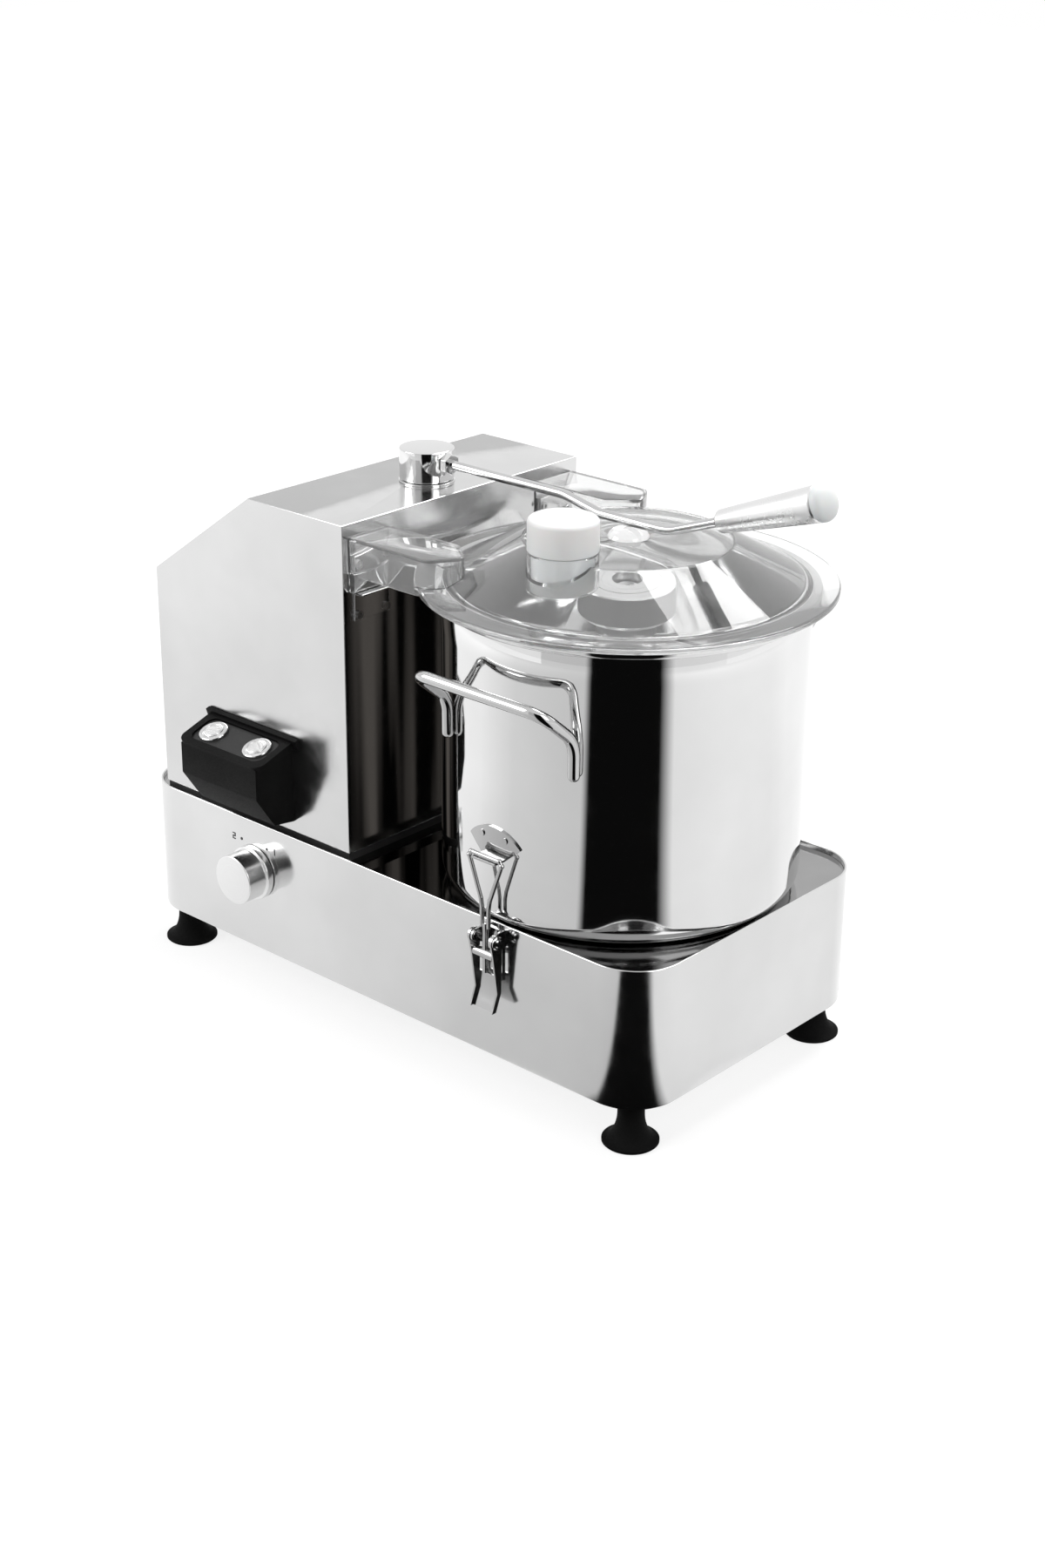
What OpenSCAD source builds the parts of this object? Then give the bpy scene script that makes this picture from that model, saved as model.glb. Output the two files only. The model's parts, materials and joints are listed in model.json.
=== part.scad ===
// Vegetable cutting machine: a bowl cutter with a motor tower on a low tray base,
// a clamped steel bowl with turning blades, a clear lid with a feed chute,
// and a swinging arm that presses on the lid.
// X runs from the motor tower to the bowl, the front is -Y, Z is up, the floor is z = 0.
// All sizes are in millimetres.

/* [Base tray] */
// Length of the base tray
base_len = 480; // [470:1:490]
// Width of the base tray
base_w = 241.5; // [238:0.5:246]
// Height of the tray wall
tray_h = 100; // [96:1:104]
// Radius of the tray's upright corners
base_corner_r = 36; // [32:1:40]
// Thickness of the tray and deck sheet
sheet_t = 1.5; // [1.2:0.1:1.8]
// Height of the tray's edge above the deck
edge_h = 4; // [3:0.5:5]
// Width of the folded-in flange at the bottom of the wall
flange_w = 9; // [8:0.5:10]
// Width of the ledge that carries the deck
ledge_w = 7; // [5:1:9]
// Side play between a dropped-in plate and the wall
plate_play = 0.2; // [0.1:0.05:0.3]

/* [Feet] */
// Height of a rubber foot
foot_h = 32; // [30:1:34]
// Radius of a foot at the floor
foot_r = 19; // [17:0.5:20]
// Radius of a foot's neck
foot_neck_r = 9; // [8:0.5:10]
// Height of a foot's flat rim
foot_rim_h = 2.5; // [2:0.25:3]
// Radius of a foot's flared side
foot_flare_r = 12; // [11:0.5:13]
// Distance of a foot's axis from the tray's end
foot_end_gap = 23.6; // [22:0.2:26]
// Distance of a foot's axis from the tray's side
foot_side_gap = 21.25; // [20:0.25:23]
// Radius of a foot screw
foot_screw_r = 3; // [2.5:0.25:3.25]
// Radius of a foot screw's head
foot_screw_head_r = 5; // [4.5:0.25:5.5]
// Height of a foot screw's head
foot_screw_head_h = 3; // [2.5:0.25:3.5]
// Depth of a foot screw in the rubber
foot_screw_depth = 18; // [15:1:20]

/* [Motor tower] */
// Distance from the tray's end to the tower's outer side
tower_end_gap = 24.5; // [22:0.5:27]
// Distance from the tower to the bowl's wall
tower_gap = 23.8; // [22.5:0.1:25.5]
// Width of the tower
tower_w = 232; // [229:0.5:233]
// Height of the tower's top above the lid's top
tower_over = 1.7; // [1.4:0.1:3]
// Length of the flat top
tower_top_len = 90.9; // [86:0.1:96]
// Height lost over the sloping top
tower_drop = 70.4; // [66:0.1:75]
// Thickness of the tower's sheet
tower_t = 1.2; // [1:0.1:1.5]
// Height of the seal strip under the tower
plinth_h = 6; // [5:0.5:7]
// Width of the seal strip under the tower
plinth_w = 8; // [6:0.5:9]
// Set-back of the seal strip from the tower's face
plinth_inset = 1; // [0.5:0.25:1.5]
// Width of the tower's bottom flange
tower_flange_w = 10; // [8:0.5:12]
// Length of a cooling slot in the tower's back
vent_len = 46; // [40:1:52]
// Width of a cooling slot
vent_w = 4; // [3:0.5:4.5]
// Distance between two cooling slots
vent_pitch = 10; // [8:0.5:12]
// Height of the slots' lower end above the deck
vent_rise = 60; // [50:1:70]
// Number of cooling slots
vent_count = 9; // [7:1:10]

/* [Cable outlet] */
// Distance of the cable outlet from the tower's outer side
gland_side = 30; // [26:1:34]
// Height of the cable outlet above the deck
gland_rise = 32; // [28:1:36]
// Radius of the outlet's threaded neck
gland_neck_r = 7.8; // [7:0.2:8.6]
// Width of the outlet's hexagon over its flats
gland_hex = 22; // [20:0.5:24]
// Thickness of the outlet's hexagon
gland_hex_t = 6; // [5:0.5:7]
// Length of the outlet's round cap
gland_cap_len = 13; // [11:0.5:15]
// Radius of the outlet's round cap
gland_cap_r = 9.5; // [9:0.25:10]
// Radius of the outlet's cable hole
gland_hole_r = 4; // [3.5:0.25:4.5]
// Play of the outlet's neck in the sheet
gland_play = 0.2; // [0.1:0.05:0.3]

/* [Control box] */
// Distance of the control box's centre from the tray's centre
panel_off = 118; // [114:0.5:121]
// Height of the panel's back edge above the deck
panel_rise = 76; // [72:0.5:80]
// Slope of the button panel in degrees
panel_tilt = 18.3; // [16:0.1:20]
// Width of the panel's lip
lip_w = 84; // [80:1:88]
// Depth of the panel's lip, along its slope
lip_d = 37; // [35:0.5:38]
// Thickness of the panel's lip
lip_t = 5; // [4.5:0.25:5.5]
// Radius of the lip's front corners
lip_r = 8; // [6:0.5:10]
// Width of the box below the lip
box_w = 77; // [74:1:79]
// Depth of the box from the tower
box_d = 34; // [32:0.5:35]
// Height of the box's upright front face, from the bottom of the box
box_front_rise = 26; // [24:0.5:28]
// Height of the box at the tower
box_h = 62; // [58:1:66]
// Depth of the box's bottom edge from the tower
box_bottom_d = 18; // [16:0.5:20]
// Rise of the bottom from the tower to its front edge
box_bottom_rise = 2.5; // [2:0.25:3]
// Wall thickness of the box
box_t = 2.5; // [2:0.25:3]
// Width of the back ridge of the panel
ridge_w = 92; // [88:1:94]
// Thickness of the back ridge
ridge_t = 3.5; // [3:0.25:4]
// Height of the back ridge above the lip
ridge_h = 2; // [1.5:0.25:2.5]
// Width of the sunk field around the buttons
field_w = 72; // [68:1:74]
// Depth of the sunk field along the slope
field_d = 25; // [24:0.5:26]
// Depth of the field below the lip
field_sink = 2.4; // [2:0.1:2.8]
// Thickness of the button plate in the field
field_plate_t = 1; // [0.8:0.1:1.2]
// Radius of the field's corners
field_r = 7; // [5:0.5:8]
// Height of the cable gate behind the box
gate_h = 24; // [20:1:28]
// Width of the cable gate behind the box
gate_w = 66; // [64:1:68]

/* [Push buttons] */
// Distance between the two push buttons
button_pitch = 44.7; // [42:0.1:46]
// Distance of the buttons from the tower along the slope
button_row = 18.75; // [18:0.25:19.5]
// Outer radius of a button's steel ring
bezel_r = 10.7; // [10:0.1:11.5]
// Height of a button's steel ring
bezel_h = 2.2; // [2:0.1:2.6]
// Edge bevel of a button's ring
bezel_bevel = 0.7; // [0.5:0.1:0.9]
// Radius of a button's threaded barrel
barrel_r = 9.2; // [8.8:0.1:9.4]
// Length of a button's threaded barrel
barrel_len = 20; // [18:1:22]
// Radius of a button's moving face
button_r = 7.1; // [6.8:0.1:7.4]
// Running play around a button's face
button_play = 0.08; // [0.06:0.01:0.1]
// Height of a button's face above its ring
button_stand = 0.4; // [0.2:0.1:0.6]
// Length of a button's moving plunger
button_len = 12; // [11:0.5:13]
// Play of a barrel in the panel
barrel_play = 0.2; // [0.1:0.05:0.3]
// Side of a switch block below a button
switch_side = 17; // [16:0.5:18]
// Height of a switch block below a button
switch_h = 12; // [10:0.5:14]

/* [Speed knob] */
// Distance of the knob's axis from the tray's centre
knob_off = 117; // [114:0.5:120]
// Height of the knob's axis above the tray's lower edge
knob_rise = 61.4; // [58:0.1:65]
// Radius of the knob's grip
knob_r = 18; // [17:0.25:19]
// Radius of the knob's skirt
knob_skirt_r = 20; // [19.5:0.25:21]
// Thickness of the knob's skirt
knob_skirt_t = 5.5; // [5:0.25:6]
// Height of the knob from the tray wall
knob_h = 21.5; // [20:0.25:23]
// Edge bevel of the knob's face
knob_bevel = 0.8; // [0.6:0.1:1.2]
// Gap between the knob and the wall
knob_gap = 0.6; // [0.4:0.1:0.9]
// Radius of the knob's shaft
knob_shaft_r = 3; // [2.8:0.1:3.2]
// Depth of the shaft in the knob
knob_shaft_in = 14; // [12:0.5:15]
// Running play of the shaft in the wall
knob_play = 0.08; // [0.06:0.01:0.1]
// Radius of the speed switch behind the wall
speed_switch_r = 14; // [13:0.5:16]
// Length of the speed switch behind the wall
speed_switch_len = 22; // [18:1:26]
// Radius on which the speed marks stand
mark_ring_r = 25; // [24:0.5:26]
// Angle of a speed mark from the top in degrees
mark_angle = 32; // [28:1:36]
// Radius of a speed mark
mark_r = 1.1; // [0.9:0.1:1.3]
// Thickness of the printed marks
mark_t = 0.2; // [0.15:0.05:0.3]
// Height of a printed figure
figure_h = 5; // [4.5:0.25:5.5]
// Width of a printed figure's stroke
figure_stroke = 0.8; // [0.7:0.05:0.9]
// Width of a printed figure
figure_w = 3; // [2.8:0.1:3.4]
// Distance from a mark to its figure
figure_gap = 8; // [7:0.5:9]

/* [Bowl] */
// Outer radius of the bowl
bowl_r = 121; // [118:0.5:122]
// Wall thickness of the bowl
bowl_t = 1.2; // [1:0.1:1.5]
// Height of the bowl
bowl_h = 205; // [200:1:210]
// Radius of the bowl's bottom corner
bowl_corner_r = 15; // [12:0.5:18]
// Radius of the rolled rim
rim_bead_r = 3.3; // [3:0.1:3.5]
// Inner bulge of the rolled rim
rim_bulge = 0.4; // [0.2:0.1:0.5]
// Outer radius of the bowl's centre tube
tube_r = 16.5; // [16:0.25:17]
// Distance from the bowl's rim down to its centre tube
tube_down = 37; // [33:1:45]
// Radius of the bowl's handle rod
handle_rod_r = 4; // [3.5:0.25:4.5]
// Angle between the bowl's front and a handle's foot in degrees
handle_angle = 25.5; // [24:0.5:27]
// Height of a handle foot's lower end above the bowl's bottom
handle_low = 121; // [116:1:125]
// Length of a handle's welded foot
handle_foot = 23; // [20:1:26]
// Distance of the handle's grip from the bowl's wall
handle_reach = 22; // [20:0.5:25]
// Rise of the grip above the handle's foot
handle_rise = 25; // [22:1:28]
// Length of a bend in a handle
handle_bend = 10; // [8:0.5:11]

/* [Blades and drive] */
// Radius of the blade carrier's head
head_r = 33; // [31:0.5:34]
// Height of the blade carrier's head
head_h = 22; // [20:0.5:24]
// Top of the carrier's head below the bowl's rim
head_sink = 5.5; // [4:0.5:8]
// Radius of the carrier's column
column_r = 20; // [19.5:0.25:21]
// Play between the column and the bowl's tube
column_play = 1; // [0.8:0.1:1.2]
// Gap between the carrier and the bowl's floor
carrier_gap = 5; // [4:0.5:6]
// Radius of the carrier's foot collar
collar_r = 28; // [26:0.5:30]
// Height of the carrier's foot collar
collar_h = 5.5; // [5:0.5:6.5]
// Radius of the well in the head
well_r = 10.5; // [10.2:0.1:11]
// Depth of the well in the head
well_h = 12; // [11:0.5:13]
// Radius of the head's ring groove
head_groove_r = 22.8; // [22:0.2:24]
// Width of the head's ring groove
head_groove_w = 1; // [0.8:0.1:1.2]
// Depth of the head's ring groove
head_groove_d = 0.8; // [0.6:0.1:1]
// Bevel under the head
head_bevel = 3; // [2:0.25:4]
// Radius of the set-screw hole in the head
set_hole_r = 2.5; // [2:0.25:3]
// Depth of the set-screw hole
set_hole_d = 8; // [7:0.5:10]
// Thickness of a blade
blade_t = 2.5; // [2:0.25:3]
// Reach of a blade from the axis
blade_reach = 112; // [108:0.5:114]
// Radius of a blade's curved back
blade_back_r = 60; // [58:0.5:62]
// Radius of a blade's hollow edge
blade_edge_r = 62; // [60:0.5:64]
// Sideways shift of the hollow edge
blade_edge_shift = 21; // [19:0.5:23]
// Gap between the two blades
blade_gap = 22.5; // [20:0.5:25]
// Height of the clamp ring over the blades
clamp_h = 8; // [7:0.5:9]
// Play of the blades on the column
blade_play = 0.05; // [0.03:0.01:0.08]
// Radius of the spindle
spindle_r = 10; // [9.9:0.02:10.1]
// Running play of the spindle
spindle_play = 0.06; // [0.04:0.01:0.09]
// Height of the belt's lower edge above the tray's lower edge
belt_rise = 18; // [16:0.5:20]
// Width of the belt
belt_w = 10; // [9:0.5:11]
// Thickness of the belt
belt_t = 5; // [4.5:0.25:5.5]
// Gap between the belt and its pulleys
belt_gap = 0.3; // [0.25:0.05:0.4]
// Radius of the motor pulley's groove
small_pulley_r = 20; // [19:0.5:21]
// Radius of the spindle pulley's groove
big_pulley_r = 40; // [38:0.5:42]
// Height of a pulley's flange beyond its groove
pulley_flange = 6; // [5.5:0.25:6.5]
// Thickness of a pulley's flange
pulley_flange_t = 3; // [2.5:0.25:3.5]
// Radius of the bearings
bearing_r = 23.5; // [23:0.1:24]
// Width of a bearing
bearing_w = 14; // [13:0.25:15]
// Outer radius of the bearing housing
bearing_boss_r = 31; // [30:0.5:32]
// Length of the bearing housing below the deck
bearing_boss_len = 58; // [54:0.5:60]
// Radius of the bearing housing's flange
bearing_flange_r = 50; // [48:0.5:54]
// Thickness of the bearing housing's flange
bearing_flange_t = 6; // [5:0.5:7]
// Radius of the neck that stands in the bowl's tube
bearing_neck_r = 13.5; // [13:0.25:14]
// Height of the neck above the deck
bearing_neck_h = 18; // [15:0.5:20]
// Play of the bearings in their housing
bearing_play = 0.02; // [0.01:0.01:0.04]
// Thickness of the shoulders that hold the bearings
bearing_shoulder = 2; // [1.5:0.25:2.5]

/* [Motor] */
// Gap between the motor and the tower's ends
motor_gap = 35.35; // [31:0.05:38]
// Height of the motor
motor_h = 130; // [124:1:136]
// Thickness of the motor's foot plate
motor_foot_t = 6; // [5:0.5:7]
// Gap between the motor's foot plate and the tower's floor flanges, along the machine
motor_foot_gap = 10.35; // [8:0.05:12]
// The same gap across the machine
motor_foot_side = 31; // [28:0.5:34]
// Thickness of a motor end shield
motor_shield_t = 14; // [12:0.5:16]
// Depth of the cooling ribs
motor_rib = 3; // [2.5:0.25:3.5]
// Radius of the motor shaft
motor_shaft_r = 8; // [7.5:0.1:8.5]
// Radius of the deck's hole around the motor shaft
motor_hole_r = 14; // [12:0.5:16]
// Length of the motor shaft inside the motor
motor_shaft_in = 40; // [34:1:46]
// Size of the control board
board_w = 90; // [84:1:96]
// Height of the control board
board_h = 60; // [56:1:64]
// Thickness of the control board
board_t = 1.6; // [1.4:0.1:2]
// Height of the standoffs behind the board
board_stand = 6; // [5:0.5:7]
// Height of the tallest parts on the board
board_part_h = 14; // [12:0.5:16]

/* [Lid] */
// How far in from the cone's foot the lid's flat top starts
cone_w = 51.8; // [49:0.1:54]
// Height of the lid's top above the bowl's rim
lid_rise = 33; // [31:0.5:35]
// Height of the lid's flange above the bowl's rim
lid_flange_rise = 6; // [5.5:0.25:6.5]
// Distance from the bowl's outside in to the foot of the lid's cone
cone_in = 1.7; // [1.2:0.1:2.5]
// How far the lid stands out over the bowl
lid_over = 16.6; // [14:0.2:18]
// Thickness of the lid's flange
lid_flange_t = 4.4; // [4:0.1:4.8]
// Thickness of the lid's skin
lid_t = 3; // [2.6:0.1:3.2]
// Bevel of the lid's outer edge
lid_bevel = 1; // [0.8:0.1:1.4]
// Distance from the bowl's outside in to the ring that sits inside it
spigot_in = 2.5; // [2.2:0.1:3.5]
// Depth of that ring below the flange
spigot_h = 8.6; // [7:0.2:10]
// Radius of the dome under the arm
dome_r = 14; // [13:0.5:16]
// Gap between the dome and the arm's rod
dome_gap = 0.3; // [0.25:0.05:0.4]
// Width of the sealing ring
seal_w = 6; // [5.5:0.25:6.5]
// Distance of the chute's axis from the bowl's axis
chute_off = 64; // [62:0.5:66]
// Outer radius of the chute
chute_r = 22.8; // [22:0.1:23.4]
// Wall thickness of the chute
chute_t = 2.4; // [2.2:0.1:2.6]
// Height of the chute's rim above the lid's top
chute_up = 5; // [4:0.25:6]
// Depth of the chute below the lid's top
chute_down = 21.5; // [20:0.5:23]
// Height of the pusher's head
pusher_head_h = 21.5; // [20:0.5:23]
// Rounding of the pusher's head
pusher_round = 3; // [2.5:0.25:3.5]
// Running play of the pusher in the chute
pusher_play = 0.4; // [0.3:0.05:0.5]
// Gap between the pusher's head and the chute's rim
pusher_gap = 0.3; // [0.25:0.05:0.4]
// Wall thickness of the pusher
pusher_t = 2.5; // [2:0.25:3]
// Height of the side arms' top above the bowl's rim
side_arm_rise = 25.7; // [24:0.1:27]
// Distance of a side arm's outer wall from the middle
side_arm_far = 110.5; // [109:0.5:112]
// Distance of a side arm's inner wall from the middle
side_arm_near = 71.5; // [70:0.5:74]
// Distance from the bowl's axis to the side arm's outer corner
side_arm_corner = 74; // [72:0.5:76]
// Distance from the bowl's axis to the side arm's tip
side_arm_tip = 61; // [59:0.5:63]
// Distance of the side arm's tip from the middle
side_arm_tip_y = 88.4; // [86:0.2:90]
// Distance from the bowl's axis to the side arm's inner end
side_arm_inner = 82; // [80:0.5:84]
// Gap between a side arm and the tower
side_arm_gap = 0.3; // [0.25:0.05:0.4]
// Length of the hook at a side arm's end
hook_len = 16; // [14:0.5:18]
// Depth of the hook below a side arm
hook_h = 12; // [10:0.5:14]
// Width of the hook's lower end
hook_tip = 3; // [2.5:0.25:3.5]

/* [Lid guard] */
// Length of a guard sensor
sensor_len = 32; // [30:0.5:33]
// Height of a guard sensor
sensor_h = 11; // [10:0.5:12]
// Depth of a guard sensor
sensor_d = 4; // [3.5:0.25:4.5]
// Height of the sensors' middle above the bowl's rim
sensor_rise = 7.5; // [7:0.25:8.5]
// Thickness of a rest plate
rest_t = 1.5; // [1.2:0.1:1.8]
// Height of a rest plate
rest_h = 20; // [18:0.5:22]
// Reach of a rest plate's shelf
rest_reach = 9; // [8:0.5:10]
// Distance between the screws of a guard piece
guard_pitch = 25; // [24:0.5:26]
// Radius of a guard screw's head
guard_head_r = 2.8; // [2.5:0.1:3]
// Height of a guard screw's head
guard_head_h = 1.6; // [1.4:0.1:1.8]
// Radius of a guard screw's shank
guard_shank_r = 1.5; // [1.3:0.1:1.6]
// Play of a guard screw in its hole
guard_play = 0.05; // [0.03:0.01:0.1]
// Radius of a guard screw's drive hole
guard_drive_r = 1.3; // [1.2:0.05:1.4]
// Depth of a guard screw's drive hole
guard_drive_d = 0.8; // [0.7:0.05:0.9]

/* [Locking arm] */
// Distance from the tower's bowl side to the arm's pivot
pivot_gap = 36; // [34:0.5:38]
// Radius of the arm's hub
hub_r = 19; // [18:0.25:20]
// Height of the arm's hub
hub_h = 22; // [21:0.5:23]
// Edge bevel of the hub
hub_bevel = 0.8; // [0.6:0.1:1.2]
// Thickness of the washer under the hub
washer_t = 1; // [0.8:0.1:1.2]
// Overhang of the washer
washer_over = 0.5; // [0.3:0.1:0.7]
// Gap between the hub and the washer
hub_gap = 0.3; // [0.25:0.05:0.4]
// Radius of the pivot post
post_r = 8; // [7.5:0.25:8.5]
// Running play of the hub on the post
post_play = 0.06; // [0.04:0.01:0.09]
// Thickness of the hub's closed top
hub_cap_t = 5; // [4:0.5:6]
// Radius of the post's flange under the tower's top
post_flange_r = 24; // [22:0.5:26]
// Thickness of the post's flange
post_flange_t = 5; // [4:0.5:6]
// Length of the post below the flange
post_tail = 12; // [10:1:14]
// Radius of the arm's rod
rod_r = 3.2; // [3:0.1:3.4]
// Height of the rod's middle above the tower's top
rod_rise = 15; // [14.5:0.25:15.5]
// Depth of the rod in the hub
rod_in = 9; // [8:0.5:10]
// Play of the rod in the hub
rod_play = 0.05; // [0.03:0.01:0.08]
// Drop of the rod over the lid
rod_drop = 6.5; // [6:0.25:7]
// Distance from the pivot to the start of the drop
drop_start = 126; // [124:1:128]
// Distance from the pivot to the end of the drop
drop_end = 156; // [154:1:158]
// Distance from the pivot to the upward bend
lift_start = 213; // [211:1:215]
// Slope of the handle in degrees
lift_angle = 20; // [19:0.5:21]
// Length of the rising rod before the handle
lift_len = 44; // [42:0.5:46]
// Depth of the rod in the handle
rod_tail = 30; // [26:1:34]
// Length of the handle
grip_len = 79; // [76:1:82]
// Radius of the handle at the rod
grip_r_near = 7.7; // [7.2:0.1:8.2]
// Radius of the handle at its end
grip_r_far = 11.8; // [11.2:0.1:12.4]
// Length of the straight part of the handle's cap
cap_rim = 3; // [2.5:0.25:3.5]
// Height of the cap's dome
cap_dome = 6; // [5:0.25:7]
// Length of the cap's plug in the handle
cap_plug = 8; // [7:0.5:9]
// Radius of the cap's plug
cap_plug_r = 8; // [7.5:0.25:8.5]
// Width of the nut over its flats
nut_flats = 13; // [12.5:0.25:13.5]
// Thickness of the nut
nut_t = 5; // [4.5:0.25:5.5]

/* [Bowl latches] */
// Shift of a latch from the bowl's axis towards the tower
latch_shift = 5; // [4:0.5:6]
// Height of the lever's pivot above the tray's lower edge
lever_rise = 91; // [89:0.5:92]
// Distance of the lever's pivot from the wall
lever_out = 9; // [8.8:0.1:9.4]
// Radius of a lever's pivot pin
pin_r = 2.2; // [2:0.1:2.4]
// Running play of pins
pin_play = 0.06; // [0.04:0.01:0.09]
// Radius of a pin's head
pin_head_r = 4.6; // [4.2:0.1:5]
// Thickness of a pin's head
pin_head_t = 1.4; // [1.2:0.1:1.6]
// Inner distance of a bracket's ears
ear_in = 14.2; // [14:0.1:14.6]
// Thickness of a bracket's sheet
bracket_t = 1.5; // [1.3:0.1:1.7]
// Height of a bracket
bracket_h = 36; // [34:0.5:38]
// Height of a bracket above the lever's pivot
bracket_up = 5; // [4.5:0.25:5.2]
// Radius of a bracket's ear
ear_r = 4.6; // [4.4:0.1:4.8]
// Height of a bracket's ear below the pivot
ear_drop = 8; // [7:0.5:9]
// Gap between a lever and its bracket
lever_gap = 0.35; // [0.3:0.05:0.45]
// Thickness of a lever's sheet
lever_t = 1.3; // [1.2:0.1:1.5]
// Radius of a lever's eye
eye_r = 5.2; // [4.9:0.1:5.4]
// Distance from the lever's pivot down to the bail's pivot
bail_drop = 11; // [10.5:0.25:11.5]
// Distance of the bail's pivot from the wall
bail_out = 8.5; // [8.3:0.1:8.7]
// Length of a lever below its pivot
lever_len = 51; // [50:0.5:52]
// Width of a lever
lever_w = 20.4; // [20.2:0.1:21]
// Length of a lever's closed part
web_len = 24; // [23:0.5:24.5]
// Distance of a lever's web from the wall
web_out = 4; // [3.6:0.1:4.4]
// Length of a lever's finger plate
finger_len = 13; // [12:0.5:14]
// Depth of the flanges beside a finger plate
finger_flange = 2.6; // [2.2:0.1:3]
// Outward throw of the finger plate's end
finger_throw = 5; // [4:0.5:6]
// Radius of a bail's wire
wire_r = 1.5; // [1.4:0.05:1.6]
// Width of a bail between its corners
bail_w = 30; // [28:0.5:31]
// Height of a bail above its pivot
bail_h = 69.3; // [68:0.1:70]
// Height of the bail's neck above its pivot
neck_h = 36; // [34:0.5:38]
// Height of the bail's weld above its pivot
weld_h = 19; // [17:0.5:21]
// Radius of a bail's stud
stud_r = 2; // [1.9:0.05:2.1]
// Length of the stud below its pivot
stud_down = 13.5; // [12:0.5:14]
// Radius of a bail's cross bar
bar_r = 3.4; // [3.2:0.1:3.6]
// Bend length at a bail's corners
wire_bend = 3; // [2.5:0.25:3.5]
// Thickness of a strike plate
strike_t = 1.5; // [1.3:0.1:1.7]
// Width of a strike plate
strike_w = 45; // [43:0.5:47]
// Height of a strike plate
strike_h = 21.5; // [20.5:0.5:22.5]
// Height of a strike plate's shelf above the bowl's bottom
strike_rise = 50; // [49:0.25:51]
// Reach of a strike plate's shelf from the tray wall
shelf_reach = 11; // [10.5:0.25:12]
// Width of a strike plate's shelf
shelf_w = 20; // [18:0.5:21]
// Gap between a bail and its shelf
shelf_gap = 0.3; // [0.25:0.05:0.4]
// Distance between a strike plate's rivets
rivet_pitch = 20.5; // [19:0.5:22]
// Height of the rivets above the shelf
rivet_rise = 13; // [12:0.5:14]
// Radius of a rivet
rivet_r = 2.3; // [2.1:0.1:2.5]
// Height of a rivet's head
rivet_h = 0.8; // [0.7:0.05:1]

/* [Hidden] */
$fn = 96;
rod_gap_share = 0.15;
ball_over_share = 0.04;
corner_ball_share = 1.1882;
foot_press_share = 0.92;
ball_turn = [25, 35, 0];
bend_step_share = 1;
bowl_axis_share = 0.25;
rest_screw_share = 0.8;
bolt_share = 0.8;
weld_share = 0.6;
strike_corner_share = 0.5;
set_hole_angle = 225;
cut = base_w;
sliver = plate_play;
wall_z = foot_h;
top_z = wall_z + tray_h;
deck_z = top_z - edge_h;
half_w = base_w / 2;
half_len = base_len / 2;
bowl_x = base_len * bowl_axis_share;
foot_x = half_len - foot_end_gap;
foot_y = half_w - foot_side_gap;
tower_x0 = -half_len + tower_end_gap;
tower_x1 = bowl_x - bowl_r - tower_gap;
tower_len = tower_x1 - tower_x0;
motor_x = (tower_x0 + tower_x1) / 2;
motor_foot_w = tower_len - 2 * tower_flange_w - 2 * motor_foot_gap;
motor_foot_d = tower_w - 2 * tower_flange_w - 2 * motor_foot_side;
tower_y = tower_w / 2;
tower_z0 = deck_z + plinth_h;
rim_z = deck_z + bowl_h;
lid_top_z = rim_z + lid_rise;
tower_z1 = lid_top_z + tower_over;
slope_x = tower_x1 - tower_top_len;
slope_z = tower_z1 - tower_drop;
slope_angle = atan2(tower_drop, slope_x - tower_x0);
tube_h = bowl_h - tube_down;
motor_r = tower_len / 2 - motor_gap;
lid_cone_r = bowl_r - cone_in;
lid_top_r = lid_cone_r - cone_w;
lid_r = bowl_r + lid_over;
spigot_r = bowl_r - spigot_in;
flange_top_z = rim_z + lid_flange_rise;
flange_low_z = flange_top_z - lid_flange_t;
cone_slope = (lid_top_z - flange_top_z) / (lid_cone_r - lid_top_r);
skin_drop = lid_t * sqrt(1 + cone_slope * cone_slope);
spigot_in_r = spigot_r - lid_t;
spigot_top_z = lid_top_z - (spigot_in_r - lid_top_r) * cone_slope - skin_drop;
under_top_r = lid_top_r - (skin_drop - lid_t) / cone_slope;
side_arm_z = rim_z + side_arm_rise;
side_arm_x0 = tower_x1 + side_arm_gap;
guard_y = (side_arm_far + side_arm_near) / 2;
rest_z = rim_z - hook_h - side_arm_gap;
rest_screw_z = rest_z - rest_h * rest_screw_share;
pivot_x = tower_x1 - pivot_gap;
hub_z = tower_z1 + washer_t + hub_gap;
rod_z = tower_z1 + rod_rise;
rod_low_z = rod_z - rod_drop;
dome_top_z = rod_low_z - rod_r - dome_gap;
dome_h = dome_top_z - lid_top_z;
dome_ball_r = (dome_r * dome_r + dome_h * dome_h) / (2 * dome_h);
panel_x = -panel_off;
panel_z = deck_z + panel_rise;
knob_x = -knob_off;
knob_z = wall_z + knob_rise;
latch_x = bowl_x - latch_shift;
lever_z = wall_z + lever_rise;
bail_z = lever_z - bail_drop;
shelf_z = bail_z + bail_h - wire_r - shelf_gap;
head_top_z = rim_z - head_sink;
head_low_z = head_top_z - head_h;
carrier_z = deck_z + bowl_t + carrier_gap;
blade_low_z = carrier_z + collar_h;
blade_high_z = blade_low_z + blade_t + blade_gap;
clamp_z = blade_high_z + blade_t;
column_in_r = tube_r + column_play;
spindle_top_z = head_top_z - well_h;
belt_z = wall_z + belt_rise;
pulley_z = belt_z - belt_gap - pulley_flange_t;
pulley_h = belt_w + 2 * belt_gap + 2 * pulley_flange_t;
deck_low_z = deck_z - sheet_t;
boss_low_z = deck_low_z - bearing_boss_len;
cover_z = wall_z + sheet_t;
motor_z = deck_z + motor_foot_t;
lift_x = lift_start;

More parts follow.
